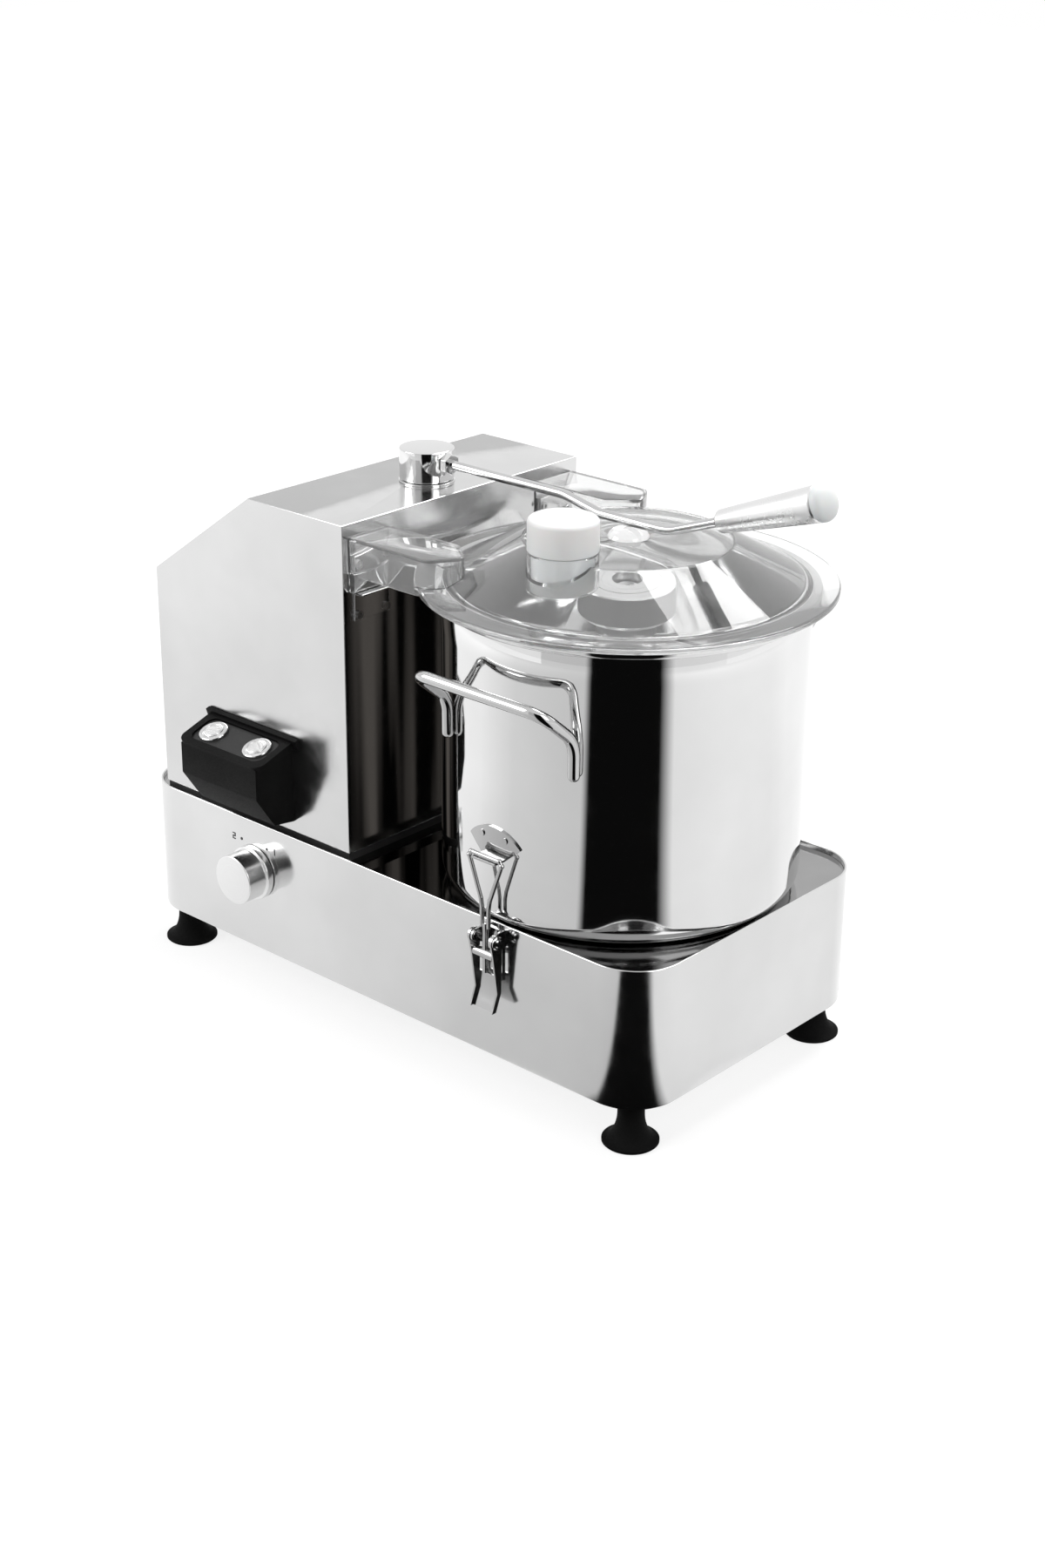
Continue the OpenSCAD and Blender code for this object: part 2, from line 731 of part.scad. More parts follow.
// A rectangle with round corners, centred.
module round_rect(l, w, r) {
  square([l - 2 * r, w], center = true);
  square([l, w - 2 * r], center = true);
  for (sx = [-1, 1]) {
    for (sy = [-1, 1]) {
      translate([sx * (l / 2 - r), sy * (w / 2 - r)]) circle(r = r);
    }
  }
}

// A plate with round upright corners, standing on z.
module slab(l, w, r, z, h) {
  translate([0, 0, z]) linear_extrude(height = h) round_rect(l, w, r);
}

// A round bar or hole from z upwards at x, y.
module disc(x, y, z, r, h) {
  translate([x, y, z]) cylinder(r = r, h = h);
}

// A ring around x, y.
module ring(x, y, z, r_out, r_in, h) {
  translate([x, y, z]) difference() {
    cylinder(r = r_out, h = h);
    translate([0, 0, -cut / 2]) cylinder(r = r_in, h = cut);
  }
}

// A profile in Y and Z, drawn out along X around x.
module side_profile(x, w, pts) {
  translate([x - w / 2, 0, 0]) rotate([90, 0, 90]) linear_extrude(height = w) polygon(pts);
}

// The same piece at the front and at the back.
module front_and_rear() {
  children();
  mirror([0, 1, 0]) children();
}

// A round rod from a to b.
module rod_between(a, b, r) {
  d = b - a;
  translate(a) rotate([0, acos(d[2] / norm(d)), atan2(d[1], d[0])]) cylinder(r = r, h = norm(d));
}

// How far a rod stops short of the corner at p, as a share of its radius.
function stop_short(a, p, b) = tan(acos((p - a) * (b - p) / (norm(p - a) * norm(b - p))) / 2) + rod_gap_share;

// A round rod through a list of points: straight lengths that end in a ball at each corner.
module rod_path(pts, r) {
  last = len(pts) - 1;
  for (i = [1 : last]) {
    d = (pts[i] - pts[i - 1]) / norm(pts[i] - pts[i - 1]);
    from = i == 1 ? 0 : stop_short(pts[i - 2], pts[i - 1], pts[i]);
    to = i == last ? 0 : stop_short(pts[i - 1], pts[i], pts[i + 1]);
    rod_between(pts[i - 1] + from * r * d, pts[i] - to * r * d, r);
  }
  for (i = [1 : last - 1]) {
    reach = stop_short(pts[i - 1], pts[i], pts[i + 1]);
    translate(pts[i]) rotate(ball_turn) sphere(r = r * (norm([1, reach]) + ball_over_share));
  }
}

// Points that round the corner at p between a and b.
function bend(a, p, b, k) = [
  for (t = [0 : bend_step_share : 1])
    (1 - t) * (1 - t) * (p + k * (a - p) / norm(a - p))
    + 2 * t * (1 - t) * p
    + t * t * (p + k * (b - p) / norm(b - p))
];

module base_shell() {
  color("silver") difference() {
    union() {
      difference() {
        slab(base_len, base_w, base_corner_r, wall_z, tray_h);
        slab(base_len - 2 * sheet_t, base_w - 2 * sheet_t, base_corner_r - sheet_t, wall_z - cut / 2, 2 * cut);
      }
      shell_ledge(cover_z, flange_w);
      shell_ledge(deck_low_z - sheet_t, ledge_w);
    }
    translate([knob_x, -half_w - cut / 2, knob_z]) rotate([-90, 0, 0])
      cylinder(r = knob_shaft_r + 2 * knob_play, h = cut);
  }
}

// A flat rim inside the tray wall.
module shell_ledge(z, w) {
  difference() {
    slab(base_len - sheet_t, base_w - sheet_t, base_corner_r - sheet_t / 2, z, sheet_t);
    slab(base_len - 2 * sheet_t - 2 * w, base_w - 2 * sheet_t - 2 * w, base_corner_r - sheet_t - w, z - cut / 2, cut);
  }
}

module deck_plate() {
  inset = sheet_t + plate_play;
  color("silver") difference() {
    slab(base_len - 2 * inset, base_w - 2 * inset, base_corner_r - inset, deck_low_z, sheet_t);
    disc(bowl_x, 0, deck_z - cut / 2, bearing_neck_r + plate_play, cut);
    disc(motor_x, 0, deck_z - cut / 2, motor_hole_r, cut);
  }
}

module bottom_cover() {
  inset = sheet_t + plate_play;
  color("gray") difference() {
    slab(base_len - 2 * inset, base_w - 2 * inset, base_corner_r - inset, wall_z, sheet_t);
    for (sx = [-1, 1]) {
      for (sy = [-1, 1]) {
        disc(sx * foot_x, sy * foot_y, wall_z - cut / 2, foot_screw_r + plate_play, cut);
      }
    }
    for (i = [0 : vent_count - 1]) {
      translate([(i - (vent_count - 1) / 2) * vent_pitch, 0, wall_z - cut / 2])
        linear_extrude(height = cut) round_rect(vent_w, vent_len, vent_w / 2 - sliver);
    }
  }
}

module feet() {
  color("black") for (sx = [-1, 1]) {
    for (sy = [-1, 1]) {
      translate([sx * foot_x, sy * foot_y, 0]) foot();
    }
  }
}

module foot() {
  difference() {
    rotate_extrude() difference() {
      square([foot_r, foot_h]);
      translate([foot_neck_r + foot_flare_r, foot_rim_h + foot_flare_r]) circle(r = foot_flare_r);
      translate([foot_neck_r, foot_rim_h + foot_flare_r]) square([foot_r, foot_h]);
    }
    disc(0, 0, foot_h - foot_screw_depth, foot_screw_r, cut);
  }
}

module foot_screws() {
  color("silver") for (sx = [-1, 1]) {
    for (sy = [-1, 1]) {
      translate([sx * foot_x, sy * foot_y, 0]) {
        disc(0, 0, foot_h - foot_screw_depth, foot_screw_r, foot_screw_depth + sheet_t);
        disc(0, 0, cover_z, foot_screw_head_r, foot_screw_head_h);
      }
    }
  }
}

module tower_seal() {
  l = tower_len - 2 * plinth_inset;
  w = tower_w - 2 * plinth_inset;
  x = (tower_x0 + tower_x1) / 2;
  color("dimgray") translate([x, 0, deck_z]) linear_extrude(height = plinth_h) difference() {
    square([l, w], center = true);
    square([l - 2 * plinth_w, w - 2 * plinth_w], center = true);
  }
}

// The tower's outline seen from the front, drawn inwards by t.
module tower_outline(t) {
  z_left = slope_z + t * tan(slope_angle) - t / cos(slope_angle);
  x_break = slope_x + (t / cos(slope_angle) - t) / tan(slope_angle);
  polygon([
    [tower_x0 + t, tower_z0 + t],
    [tower_x1 - t, tower_z0 + t],
    [tower_x1 - t, tower_z1 - t],
    [x_break, tower_z1 - t],
    [tower_x0 + t, z_left]
  ]);
}

module motor_tower() {
  x_mid = (tower_x0 + tower_x1) / 2;
  color("silver") difference() {
    translate([0, tower_y, 0]) rotate([90, 0, 0]) linear_extrude(height = tower_w) tower_outline(0);
    translate([0, tower_y - tower_t, 0]) rotate([90, 0, 0])
      linear_extrude(height = tower_w - 2 * tower_t) tower_outline(tower_t);
    translate([x_mid, 0, tower_z0 - cut / 2]) linear_extrude(height = cut)
      square([tower_len - 2 * tower_flange_w, tower_w - 2 * tower_flange_w], center = true);
    disc(pivot_x, 0, tower_z1 - cut / 2, post_r + plate_play, cut);
    translate([panel_x - gate_w / 2, -tower_y - cut / 2, panel_z - box_h / 2 - gate_h / 2])
      cube([gate_w, cut, gate_h]);
    for (i = [0 : vent_count - 1]) {
      translate([x_mid + (i - (vent_count - 1) / 2) * vent_pitch - vent_w / 2, tower_y - cut / 2, deck_z + vent_rise])
        cube([vent_w, cut, vent_len]);
    }
    translate([tower_x0 + gland_side, tower_y - cut / 2, deck_z + gland_rise]) rotate([-90, 0, 0])
      cylinder(r = gland_neck_r + gland_play, h = cut);
  }
}

module cable_gland() {
  color("black") translate([tower_x0 + gland_side, tower_y - tower_t, deck_z + gland_rise])
    rotate([-90, 0, 0]) difference() {
      union() {
        translate([0, 0, -gland_hex_t]) cylinder(r = gland_neck_r, h = 2 * gland_hex_t);
        translate([0, 0, tower_t]) cylinder(d = gland_hex / cos(30), h = gland_hex_t, $fn = 6);
        translate([0, 0, -gland_hex_t]) cylinder(d = gland_hex / cos(30), h = gland_hex_t, $fn = 6);
        translate([0, 0, tower_t + gland_hex_t]) cylinder(r = gland_cap_r, h = gland_cap_len);
      }
      translate([0, 0, -cut / 2]) cylinder(r = gland_hole_r, h = cut);
    }
}

// Places a piece on the sloping panel, with z out of the panel and -y to its front.
module on_panel() {
  translate([panel_x, -tower_y, panel_z]) rotate([panel_tilt, 0, 0]) children();
}

module panel_outline() {
  translate([-lip_w / 2, -lip_d + lip_r]) square([lip_w, lip_d - lip_r]);
  translate([-lip_w / 2 + lip_r, -lip_d]) square([lip_w - 2 * lip_r, lip_d]);
  for (sx = [-1, 1]) {
    translate([sx * (lip_w / 2 - lip_r), -lip_d + lip_r]) circle(r = lip_r);
  }
}

// The side profile of the control box below its lip, made smaller by t.
function box_side(t, back) = [
  [-tower_y + back, panel_z - lip_t / 2 - t],
  [-tower_y - box_d + t, panel_z - lip_t / 2 - t - box_d * tan(panel_tilt)],
  [-tower_y - box_d + t, panel_z - box_h + box_front_rise + t / 2],
  [-tower_y - box_bottom_d + t / 2, panel_z - box_h + box_bottom_rise + t],
  [-tower_y + back, panel_z - box_h + t]
];

module control_box() {
  color("black") difference() {
    union() {
      side_profile(panel_x, box_w, box_side(0, 0));
      difference() {
        on_panel() {
          translate([0, 0, -lip_t]) linear_extrude(height = lip_t) panel_outline();
          translate([-ridge_w / 2, -ridge_t, -lip_t]) cube([ridge_w, ridge_t, lip_t + ridge_h]);
        }
        translate([panel_x - cut, -tower_y, panel_z - cut]) cube([2 * cut, cut, 2 * cut]);
      }
    }
    side_profile(panel_x, box_w - 2 * box_t, box_side(box_t + lip_t / 2, lip_d));
    on_panel() {
      translate([0, -button_row, -field_sink]) linear_extrude(height = lip_t) round_rect(field_w, field_d, field_r);
      for (sx = [-1, 1]) {
        disc(sx * button_pitch / 2, -button_row, -barrel_len, barrel_r + barrel_play, 2 * barrel_len);
      }
    }
  }
}

module button_plate() {
  play = 2 * plate_play;
  color("dimgray") on_panel() translate([0, -button_row, -field_sink]) linear_extrude(height = field_plate_t) difference() {
    round_rect(field_w - play, field_d - play, field_r - plate_play);
    for (sx = [-1, 1]) {
      translate([sx * button_pitch / 2, 0]) circle(r = barrel_r + barrel_play);
    }
  }
}

// Places a piece at a push button, with z = 0 on the button plate.
module at_button(side) {
  on_panel() translate([side * button_pitch / 2, -button_row, -field_sink + field_plate_t]) children();
}

module button_bezels() {
  color("silver") for (side = [-1, 1]) {
    at_button(side) rotate_extrude() polygon([
      [button_r + button_play, bezel_h],
      [bezel_r - bezel_bevel, bezel_h],
      [bezel_r, bezel_h - bezel_bevel],
      [bezel_r, 0],
      [barrel_r, 0],
      [barrel_r, -barrel_len],
      [button_r + button_play, -barrel_len]
    ]);
  }
}

module button_switches() {
  color("black") for (side = [-1, 1]) {
    at_button(side) translate([-switch_side / 2, -switch_side / 2, -barrel_len - switch_h])
      cube([switch_side, switch_side, switch_h]);
  }
}

module push_button(side) {
  at_button(side) translate([0, 0, bezel_h + button_stand - button_len]) difference() {
    cylinder(r = button_r, h = button_len);
    ring(0, 0, button_len - bezel_bevel / 2, button_r - bezel_bevel, button_r - 2 * bezel_bevel, bezel_bevel);
  }
}

module start_button() {
  color("lightgray") push_button(-1);
}

module stop_button() {
  color("lightgray") push_button(1);
}

// Places a piece on the knob's axis, with z out of the tray wall.
module on_knob() {
  translate([knob_x, -half_w, knob_z]) rotate([90, 0, 0]) children();
}

module speed_knob() {
  color("lightgray") on_knob() difference() {
    rotate_extrude() polygon([
      [0, knob_gap],
      [knob_skirt_r, knob_gap],
      [knob_skirt_r, 2 * knob_gap],
      [knob_r + knob_gap, knob_skirt_t],
      [knob_r, knob_skirt_t],
      [knob_r, knob_h - knob_bevel],
      [knob_r - knob_bevel, knob_h],
      [0, knob_h]
    ]);
    disc(0, 0, -cut + knob_shaft_in, knob_shaft_r + knob_play, cut);
    translate([0, 0, knob_h / 2]) rotate([0, 90, 0]) cylinder(r = knob_shaft_r / 2, h = cut);
  }
}

module knob_shaft() {
  color("gray") on_knob() disc(0, 0, -sheet_t - speed_switch_len, knob_shaft_r, sheet_t + speed_switch_len + knob_shaft_in);
}

module speed_switch() {
  color("black") on_knob() ring(0, 0, -sheet_t - speed_switch_len, speed_switch_r, knob_shaft_r + knob_play, speed_switch_len);
}

module dial_marks() {
  fig_x = mark_ring_r * sin(mark_angle) + figure_gap;
  fig_y = mark_ring_r * cos(mark_angle);
  s = figure_stroke;
  color("black") on_knob() linear_extrude(height = mark_t) {
    for (sx = [-1, 1]) {
      translate([sx * mark_ring_r * sin(mark_angle), fig_y]) circle(r = mark_r);
    }
    translate([fig_x - s / 2, fig_y - figure_h / 2]) square([s, figure_h]);
    translate([-fig_x - figure_w / 2, fig_y - figure_h / 2]) {
      square([figure_w, s]);
      square([s, figure_h / 2]);
      translate([0, figure_h / 2 - s / 2]) square([figure_w, s]);
      translate([figure_w - s, figure_h / 2 - s / 2]) square([s, figure_h / 2 + s / 2]);
      translate([0, figure_h - s]) square([figure_w, s]);
    }
  }
}

module lid_rests() {
  color("silver") front_and_rear() difference() {
    union() {
      translate([tower_x1, -guard_y - sensor_len / 2, rest_z - rest_h]) cube([rest_t, sensor_len, rest_h]);
      translate([tower_x1, -guard_y - sensor_len / 2, rest_z - rest_t]) cube([rest_reach, sensor_len, rest_t]);
    }
    guard_holes(rest_screw_z);
  }
}

module lid_sensors() {
  z = rim_z + sensor_rise;
  color("dimgray") front_and_rear() difference() {
    translate([tower_x1, -guard_y - sensor_len / 2, z - sensor_h / 2]) cube([sensor_d, sensor_len, sensor_h]);
    guard_holes(z);
  }
}

// Screw holes of a guard piece at height z.
module guard_holes(z) {
  for (sy = [-1, 1]) {
    translate([tower_x1 - cut / 2, -guard_y + sy * guard_pitch / 2, z]) rotate([0, 90, 0])
      cylinder(r = guard_shank_r + guard_play, h = cut);
  }
}

module guard_screws() {
  color("silver") front_and_rear() {
    for (sy = [-1, 1]) {
      guard_screw(-guard_y + sy * guard_pitch / 2, rim_z + sensor_rise, sensor_d);
      guard_screw(-guard_y + sy * guard_pitch / 2, rest_screw_z, rest_t);
    }
  }
}

module guard_screw(y, z, t) {
  translate([tower_x1, y, z]) rotate([0, 90, 0]) difference() {
    union() {
      cylinder(r = guard_shank_r, h = t);
      translate([0, 0, t]) cylinder(r = guard_head_r, h = guard_head_h);
    }
    translate([0, 0, t + guard_head_h - guard_drive_d]) cylinder(r = guard_drive_r, h = cut);
  }
}

module arm_post() {
  color("gray") translate([pivot_x, 0, 0]) {
    disc(0, 0, tower_z1 - tower_t - post_flange_t, post_flange_r, post_flange_t);
    disc(0, 0, tower_z1 - tower_t - post_flange_t - post_tail, post_r, post_tail + post_flange_t + tower_t + washer_t + hub_h - hub_cap_t);
  }
}

module arm_washer() {
  color("silver") ring(pivot_x, 0, tower_z1, hub_r + washer_over, post_r + post_play, washer_t);
}

module arm_hub() {
  color("lightgray") translate([pivot_x, 0, 0]) difference() {
    translate([0, 0, hub_z]) rotate_extrude() polygon([
      [post_r + post_play, 0],
      [hub_r - hub_bevel / 2, 0],
      [hub_r, hub_bevel / 2],
      [hub_r, hub_h - hub_bevel],
      [hub_r - hub_bevel, hub_h],
      [0, hub_h],
      [0, hub_h - hub_cap_t + hub_gap],
      [post_r + post_play, hub_h - hub_cap_t + hub_gap]
    ]);
    translate([hub_r - rod_in, 0, rod_z]) rotate([0, 90, 0]) cylinder(r = rod_r + rod_play, h = cut);
  }
}

module arm_nut() {
  color("silver") translate([pivot_x + hub_r, 0, rod_z]) rotate([0, 90, 0]) difference() {
    cylinder(d = nut_flats / cos(30), h = nut_t, $fn = 6);
    translate([0, 0, -cut / 2]) cylinder(r = rod_r + rod_play, h = cut);
  }
}

// The rod's corner points, measured from the pivot.
rod_a = [hub_r - rod_in, 0, rod_z];
rod_b = [drop_start, 0, rod_z];
rod_c = [drop_end, 0, rod_low_z];
rod_d = [lift_x, 0, rod_low_z];
rod_dir = [cos(lift_angle), 0, sin(lift_angle)];
rod_e = rod_d + (lift_len + rod_tail) * rod_dir;
grip_at = rod_d + lift_len * rod_dir;
cap_ball_r = (grip_r_far * grip_r_far + cap_dome * cap_dome) / (2 * cap_dome);
cap_reach = lift_len + grip_len + cap_rim + cap_dome - cap_ball_r;
middle_x = (pivot_x + lift_x + cap_reach * cos(lift_angle) + cap_ball_r - half_len) / 2;
rear_reach = bowl_r + handle_reach + handle_rod_r * corner_ball_share;
middle_y = (rear_reach - tower_y - lip_d * cos(panel_tilt)) / 2;

module arm_rod() {
  color("silver") translate([pivot_x, 0, 0]) rod_path([rod_a, rod_b, rod_c, rod_d, rod_e], rod_r);
}

// Places a piece on the handle's axis, with z along it.
module on_grip() {
  translate([pivot_x, 0, 0]) translate(grip_at) rotate([0, 90 - lift_angle, 0]) children();
}

module arm_grip() {
  color("lightgray") on_grip() difference() {
    cylinder(r1 = grip_r_near, r2 = grip_r_far, h = grip_len);
    translate([0, 0, -cut + rod_tail + rod_play]) cylinder(r = rod_r + rod_play, h = cut);
    translate([0, 0, grip_len - cap_plug - rod_play]) cylinder(r = cap_plug_r + rod_play, h = cut);
  }
}

module arm_cap() {
  color("white") on_grip() {
    translate([0, 0, grip_len - cap_plug]) cylinder(r = cap_plug_r, h = cap_plug);
    translate([0, 0, grip_len]) cylinder(r = grip_r_far, h = cap_rim);
    translate([0, 0, grip_len + cap_rim]) intersection() {
      cylinder(r = grip_r_far, h = cap_dome);
      translate([0, 0, cap_dome - cap_ball_r]) sphere(r = cap_ball_r);
    }
  }
}

// The room under the lid's skin.
module under_lid() {
  translate([bowl_x, 0, 0]) rotate_extrude() polygon([
    [0, deck_z],
    [0, lid_top_z - lid_t],
    [under_top_r, lid_top_z - lid_t],
    [spigot_in_r, spigot_top_z],
    [spigot_in_r, deck_z]
  ]);
}

module lid_skin() {
  translate([bowl_x, 0, 0]) rotate_extrude() polygon([
    [0, lid_top_z - lid_t],
    [0, lid_top_z],
    [lid_top_r, lid_top_z],
    [lid_cone_r, flange_top_z],
    [lid_r - lid_bevel, flange_top_z],
    [lid_r, flange_top_z - lid_bevel],
    [lid_r, flange_low_z],
    [spigot_r, flange_low_z],
    [spigot_r, flange_low_z - spigot_h],
    [spigot_in_r, flange_low_z - spigot_h],
    [spigot_in_r, spigot_top_z],
    [under_top_r, lid_top_z - lid_t]
  ]);
}

// A side arm's outline from above, front one, drawn inwards by t and backwards by e.
module side_arm_outline(t, e) {
  polygon([
    [side_arm_x0 - e, -side_arm_far + t],
    [bowl_x - side_arm_corner - t / 2, -side_arm_far + t],
    [bowl_x - side_arm_tip - t, -side_arm_tip_y],
    [bowl_x - side_arm_inner - t / 2, -side_arm_near - t],
    [side_arm_x0 - e, -side_arm_near - t]
  ]);
}

module side_arm() {
  low = rim_z;
  difference() {
    union() {
      translate([0, 0, low]) linear_extrude(height = side_arm_z - low) side_arm_outline(0, 0);
      translate([side_arm_x0, -side_arm_far, low - hook_h]) cube([hook_tip, side_arm_far - side_arm_near, hook_h]);
      for (y = [-side_arm_far, -side_arm_near - lid_t]) {
        translate([0, y + lid_t, 0]) rotate([90, 0, 0]) linear_extrude(height = lid_t) polygon([
          [side_arm_x0, low + lid_t],
          [side_arm_x0, low - hook_h],
          [side_arm_x0 + hook_tip, low - hook_h],
          [side_arm_x0 + hook_len, low],
          [side_arm_x0 + hook_len, low + lid_t]
        ]);
      }
    }
    translate([0, 0, low]) linear_extrude(height = side_arm_rise - lid_t) side_arm_outline(lid_t, lid_t);
    under_lid();
    disc(bowl_x, 0, flange_low_z - cut, lid_r + lid_bevel, cut);
  }
}

module lid() {
  color("lightblue", 0.4) difference() {
    union() {
      lid_skin();
      front_and_rear() side_arm();
      translate([bowl_x, 0, lid_top_z]) intersection() {
        cylinder(r = dome_r, h = dome_h);
        translate([0, 0, dome_h - dome_ball_r]) sphere(r = dome_ball_r);
      }
      disc(bowl_x, -chute_off, lid_top_z - chute_down, chute_r, chute_down + chute_up);
    }
    disc(bowl_x, -chute_off, lid_top_z - cut / 2, chute_r - chute_t, cut);
  }
}

module lid_seal() {
  r = spigot_r + column_play;
  color("gray") ring(bowl_x, 0, rim_z, r + seal_w, r, flange_low_z - rim_z);
}

module pusher() {
  r = chute_r - chute_t - pusher_play;
  z = lid_top_z + chute_up + pusher_gap;
  color("white") translate([bowl_x, -chute_off, 0]) rotate_extrude() {
    polygon([
      [0, z],
      [r - pusher_t, z],
      [r - pusher_t, lid_top_z - chute_down],
      [r, lid_top_z - chute_down],
      [r, z],
      [chute_r, z],
      [chute_r, z + pusher_head_h - pusher_round],
      [chute_r - pusher_round, z + pusher_head_h],
      [0, z + pusher_head_h]
    ]);
  }
}

module bowl() {
  in_corner = bowl_corner_r - bowl_t;
  color("silver") translate([bowl_x, 0, deck_z]) rotate_extrude() {
    difference() {
      union() {
        square([bowl_r - bowl_corner_r, bowl_h - rim_bead_r]);
        translate([0, bowl_corner_r]) square([bowl_r, bowl_h - rim_bead_r - bowl_corner_r]);
        translate([bowl_r - bowl_corner_r, bowl_corner_r]) circle(r = bowl_corner_r);
      }
      translate([0, bowl_t]) square([bowl_r - bowl_corner_r, bowl_h]);
      translate([0, bowl_corner_r]) square([bowl_r - bowl_t, bowl_h]);
      translate([bowl_r - bowl_corner_r, bowl_corner_r]) circle(r = in_corner);
      square([tube_r - bowl_t, bowl_h]);
    }
    translate([tube_r - bowl_t, 0]) square([bowl_t, tube_h]);
    difference() {
      translate([bowl_r - bowl_t + rim_bead_r - rim_bulge, bowl_h - rim_bead_r]) circle(r = rim_bead_r);
      translate([bowl_r - bowl_t + rim_bead_r - rim_bulge, bowl_h - rim_bead_r]) circle(r = rim_bead_r - bowl_t);
    }
  }
}

module bowl_handles() {
  r = bowl_r + handle_rod_r * foot_press_share;
  x = r * sin(handle_angle);
  y = r * cos(handle_angle);
  z = deck_z + handle_low;
  grip_y = bowl_r + handle_reach;
  foot_l = [-x, -y, z];
  knee_l = [-x, -y, z + handle_foot];
  grip_l = [-x, -grip_y, z + handle_foot + handle_rise];
  grip_rt = [x, -grip_y, z + handle_foot + handle_rise];
  knee_rt = [x, -y, z + handle_foot];
  foot_rt = [x, -y, z];
  color("silver") front_and_rear() translate([bowl_x, 0, 0]) difference() {
    rod_path(concat(
      [foot_l, knee_l],
      bend(knee_l, grip_l, grip_rt, handle_bend),
      bend(grip_l, grip_rt, knee_rt, handle_bend),
      [knee_rt, foot_rt]
    ), handle_rod_r);
    disc(0, 0, deck_z, bowl_r, bowl_h);
  }
}

// A strike plate's outline from the front: an arched top over a narrow foot.
module strike_outline() {
  side_h = strike_h * strike_corner_share;
  arch_h = strike_h - side_h;
  r = (strike_w * strike_w / 4 + arch_h * arch_h) / (2 * arch_h);
  intersection() {
    translate([0, strike_h - r]) circle(r = r);
    polygon([
      [-shelf_w / 2, 0],
      [shelf_w / 2, 0],
      [strike_w / 2 - sliver, side_h],
      [strike_w / 2 - sliver, strike_h],
      [-strike_w / 2 + sliver, strike_h],
      [-strike_w / 2 + sliver, side_h]
    ]);
  }
}

module strike_plates() {
  color("silver") front_and_rear() {
    difference() {
      intersection() {
        ring(bowl_x, 0, shelf_z - strike_t, bowl_r + strike_t, bowl_r, strike_h + strike_t);
        translate([latch_x, 0, shelf_z - strike_t]) rotate([90, 0, 0]) linear_extrude(height = cut) strike_outline();
      }
      rivet_bores();
    }
    difference() {
      translate([latch_x - shelf_w / 2, -half_w - shelf_reach, shelf_z - strike_t]) cube([shelf_w, shelf_reach + half_w - bowl_r / 2, strike_t]);
      disc(bowl_x, 0, shelf_z - cut / 2, bowl_r, cut);
    }
  }
}

module rivet_bores() {
  for (sx = [-1, 1]) {
    translate([latch_x + sx * rivet_pitch / 2, -bowl_r / 2, shelf_z + rivet_rise]) rotate([90, 0, 0])
      cylinder(r = rivet_r, h = cut);
  }
}

module strike_rivets() {
  color("gray") front_and_rear() intersection() {
    rivet_bores();
    ring(bowl_x, 0, shelf_z, bowl_r + strike_t + rivet_h, bowl_r, strike_h);
  }
}

// Places a latch piece: x across, y = 0 on the tray wall, -y outwards, z = 0 at the lever's pivot.
module at_latch() {
  translate([latch_x, -half_w, lever_z]) children();
}

module latch_brackets() {
  w = ear_in + 2 * bracket_t;
  color("silver") front_and_rear() at_latch() difference() {
    union() {
      translate([-w / 2, -bracket_t, bracket_up - bracket_h]) cube([w, bracket_t, bracket_h]);
      for (sx = [-1, 1]) {
        side_profile(sx * (ear_in + bracket_t) / 2, bracket_t, [
          [0, bracket_up],
          [-lever_out, ear_r],
          [-lever_out, -ear_r],
          [0, -ear_drop]
        ]);
        translate([sx * (ear_in + bracket_t) / 2, 0, 0]) pin_bar(lever_out, 0, ear_r, bracket_t);
      }
    }
    pin_bar(lever_out, 0, pin_r + pin_play, cut);
  }
}

// A round bar or hole along X at a distance from the wall and a height.
module pin_bar(out, z, r, w) {
  translate([-w / 2, -out, z]) rotate([0, 90, 0]) cylinder(r = r, h = w);
}

// The two headed pins that carry a lever on its bracket's ears.
module lever_pins() {
  in_x = ear_in / 2;
  head_x = lever_w / 2 + lever_gap;
  t = pin_head_t;
  color("lightgray") front_and_rear() at_latch() for (a = [0, 180]) {
    translate([0, -lever_out, 0]) rotate([0, 0, a]) rotate([0, 90, 0]) rotate_extrude() polygon([
      [0, in_x - t / 2],
      [ear_r - t / 2, in_x - t / 2],
      [ear_r - t / 2, in_x],
      [pin_r, in_x],
      [pin_r, head_x],
      [pin_head_r, head_x],
      [pin_head_r, head_x + t / 2],
      [pin_head_r - t / 2, head_x + t],
      [pin_r + t / 2, head_x + t],
      [pin_r, head_x + 3 * t / 2],
      [0, head_x + 3 * t / 2]
    ]);
  }
}

module lever() {
  bend_z = finger_len - lever_len;
  at_latch() difference() {
    union() {
      for (sx = [-1, 1]) {
        translate([sx * (lever_w - lever_t) / 2, 0, 0]) {
          pin_bar(lever_out, 0, eye_r, lever_t);
          side_profile(0, lever_t, [
            [-lever_out - eye_r, 0],
            [-bail_out - bar_r, -bail_drop],
            [-web_out - lever_t - finger_flange, bend_z],
            [-web_out - lever_t - finger_flange - finger_throw, 0 - lever_len],
            [-web_out - finger_throw, 0 - lever_len],
            [-web_out, bend_z],
            [-web_out, web_len - lever_len],
            [eye_r - lever_out, 0]
          ]);
        }
      }
      side_profile(0, lever_w, [
        [-web_out, web_len - lever_len],
        [-web_out - lever_t, web_len - lever_len],
        [-web_out - lever_t, bend_z],
        [-web_out - lever_t - finger_throw, 0 - lever_len],
        [-web_out - finger_throw, 0 - lever_len],
        [-web_out, bend_z]
      ]);
    }
    pin_bar(lever_out, 0, pin_r + pin_play, cut);
    pin_bar(bail_out, -bail_drop, stud_r + pin_play, cut);
  }
}

module lever_front() {
  color("lightgray") lever();
}

module lever_rear() {
  color("lightgray") mirror([0, 1, 0]) lever();
}

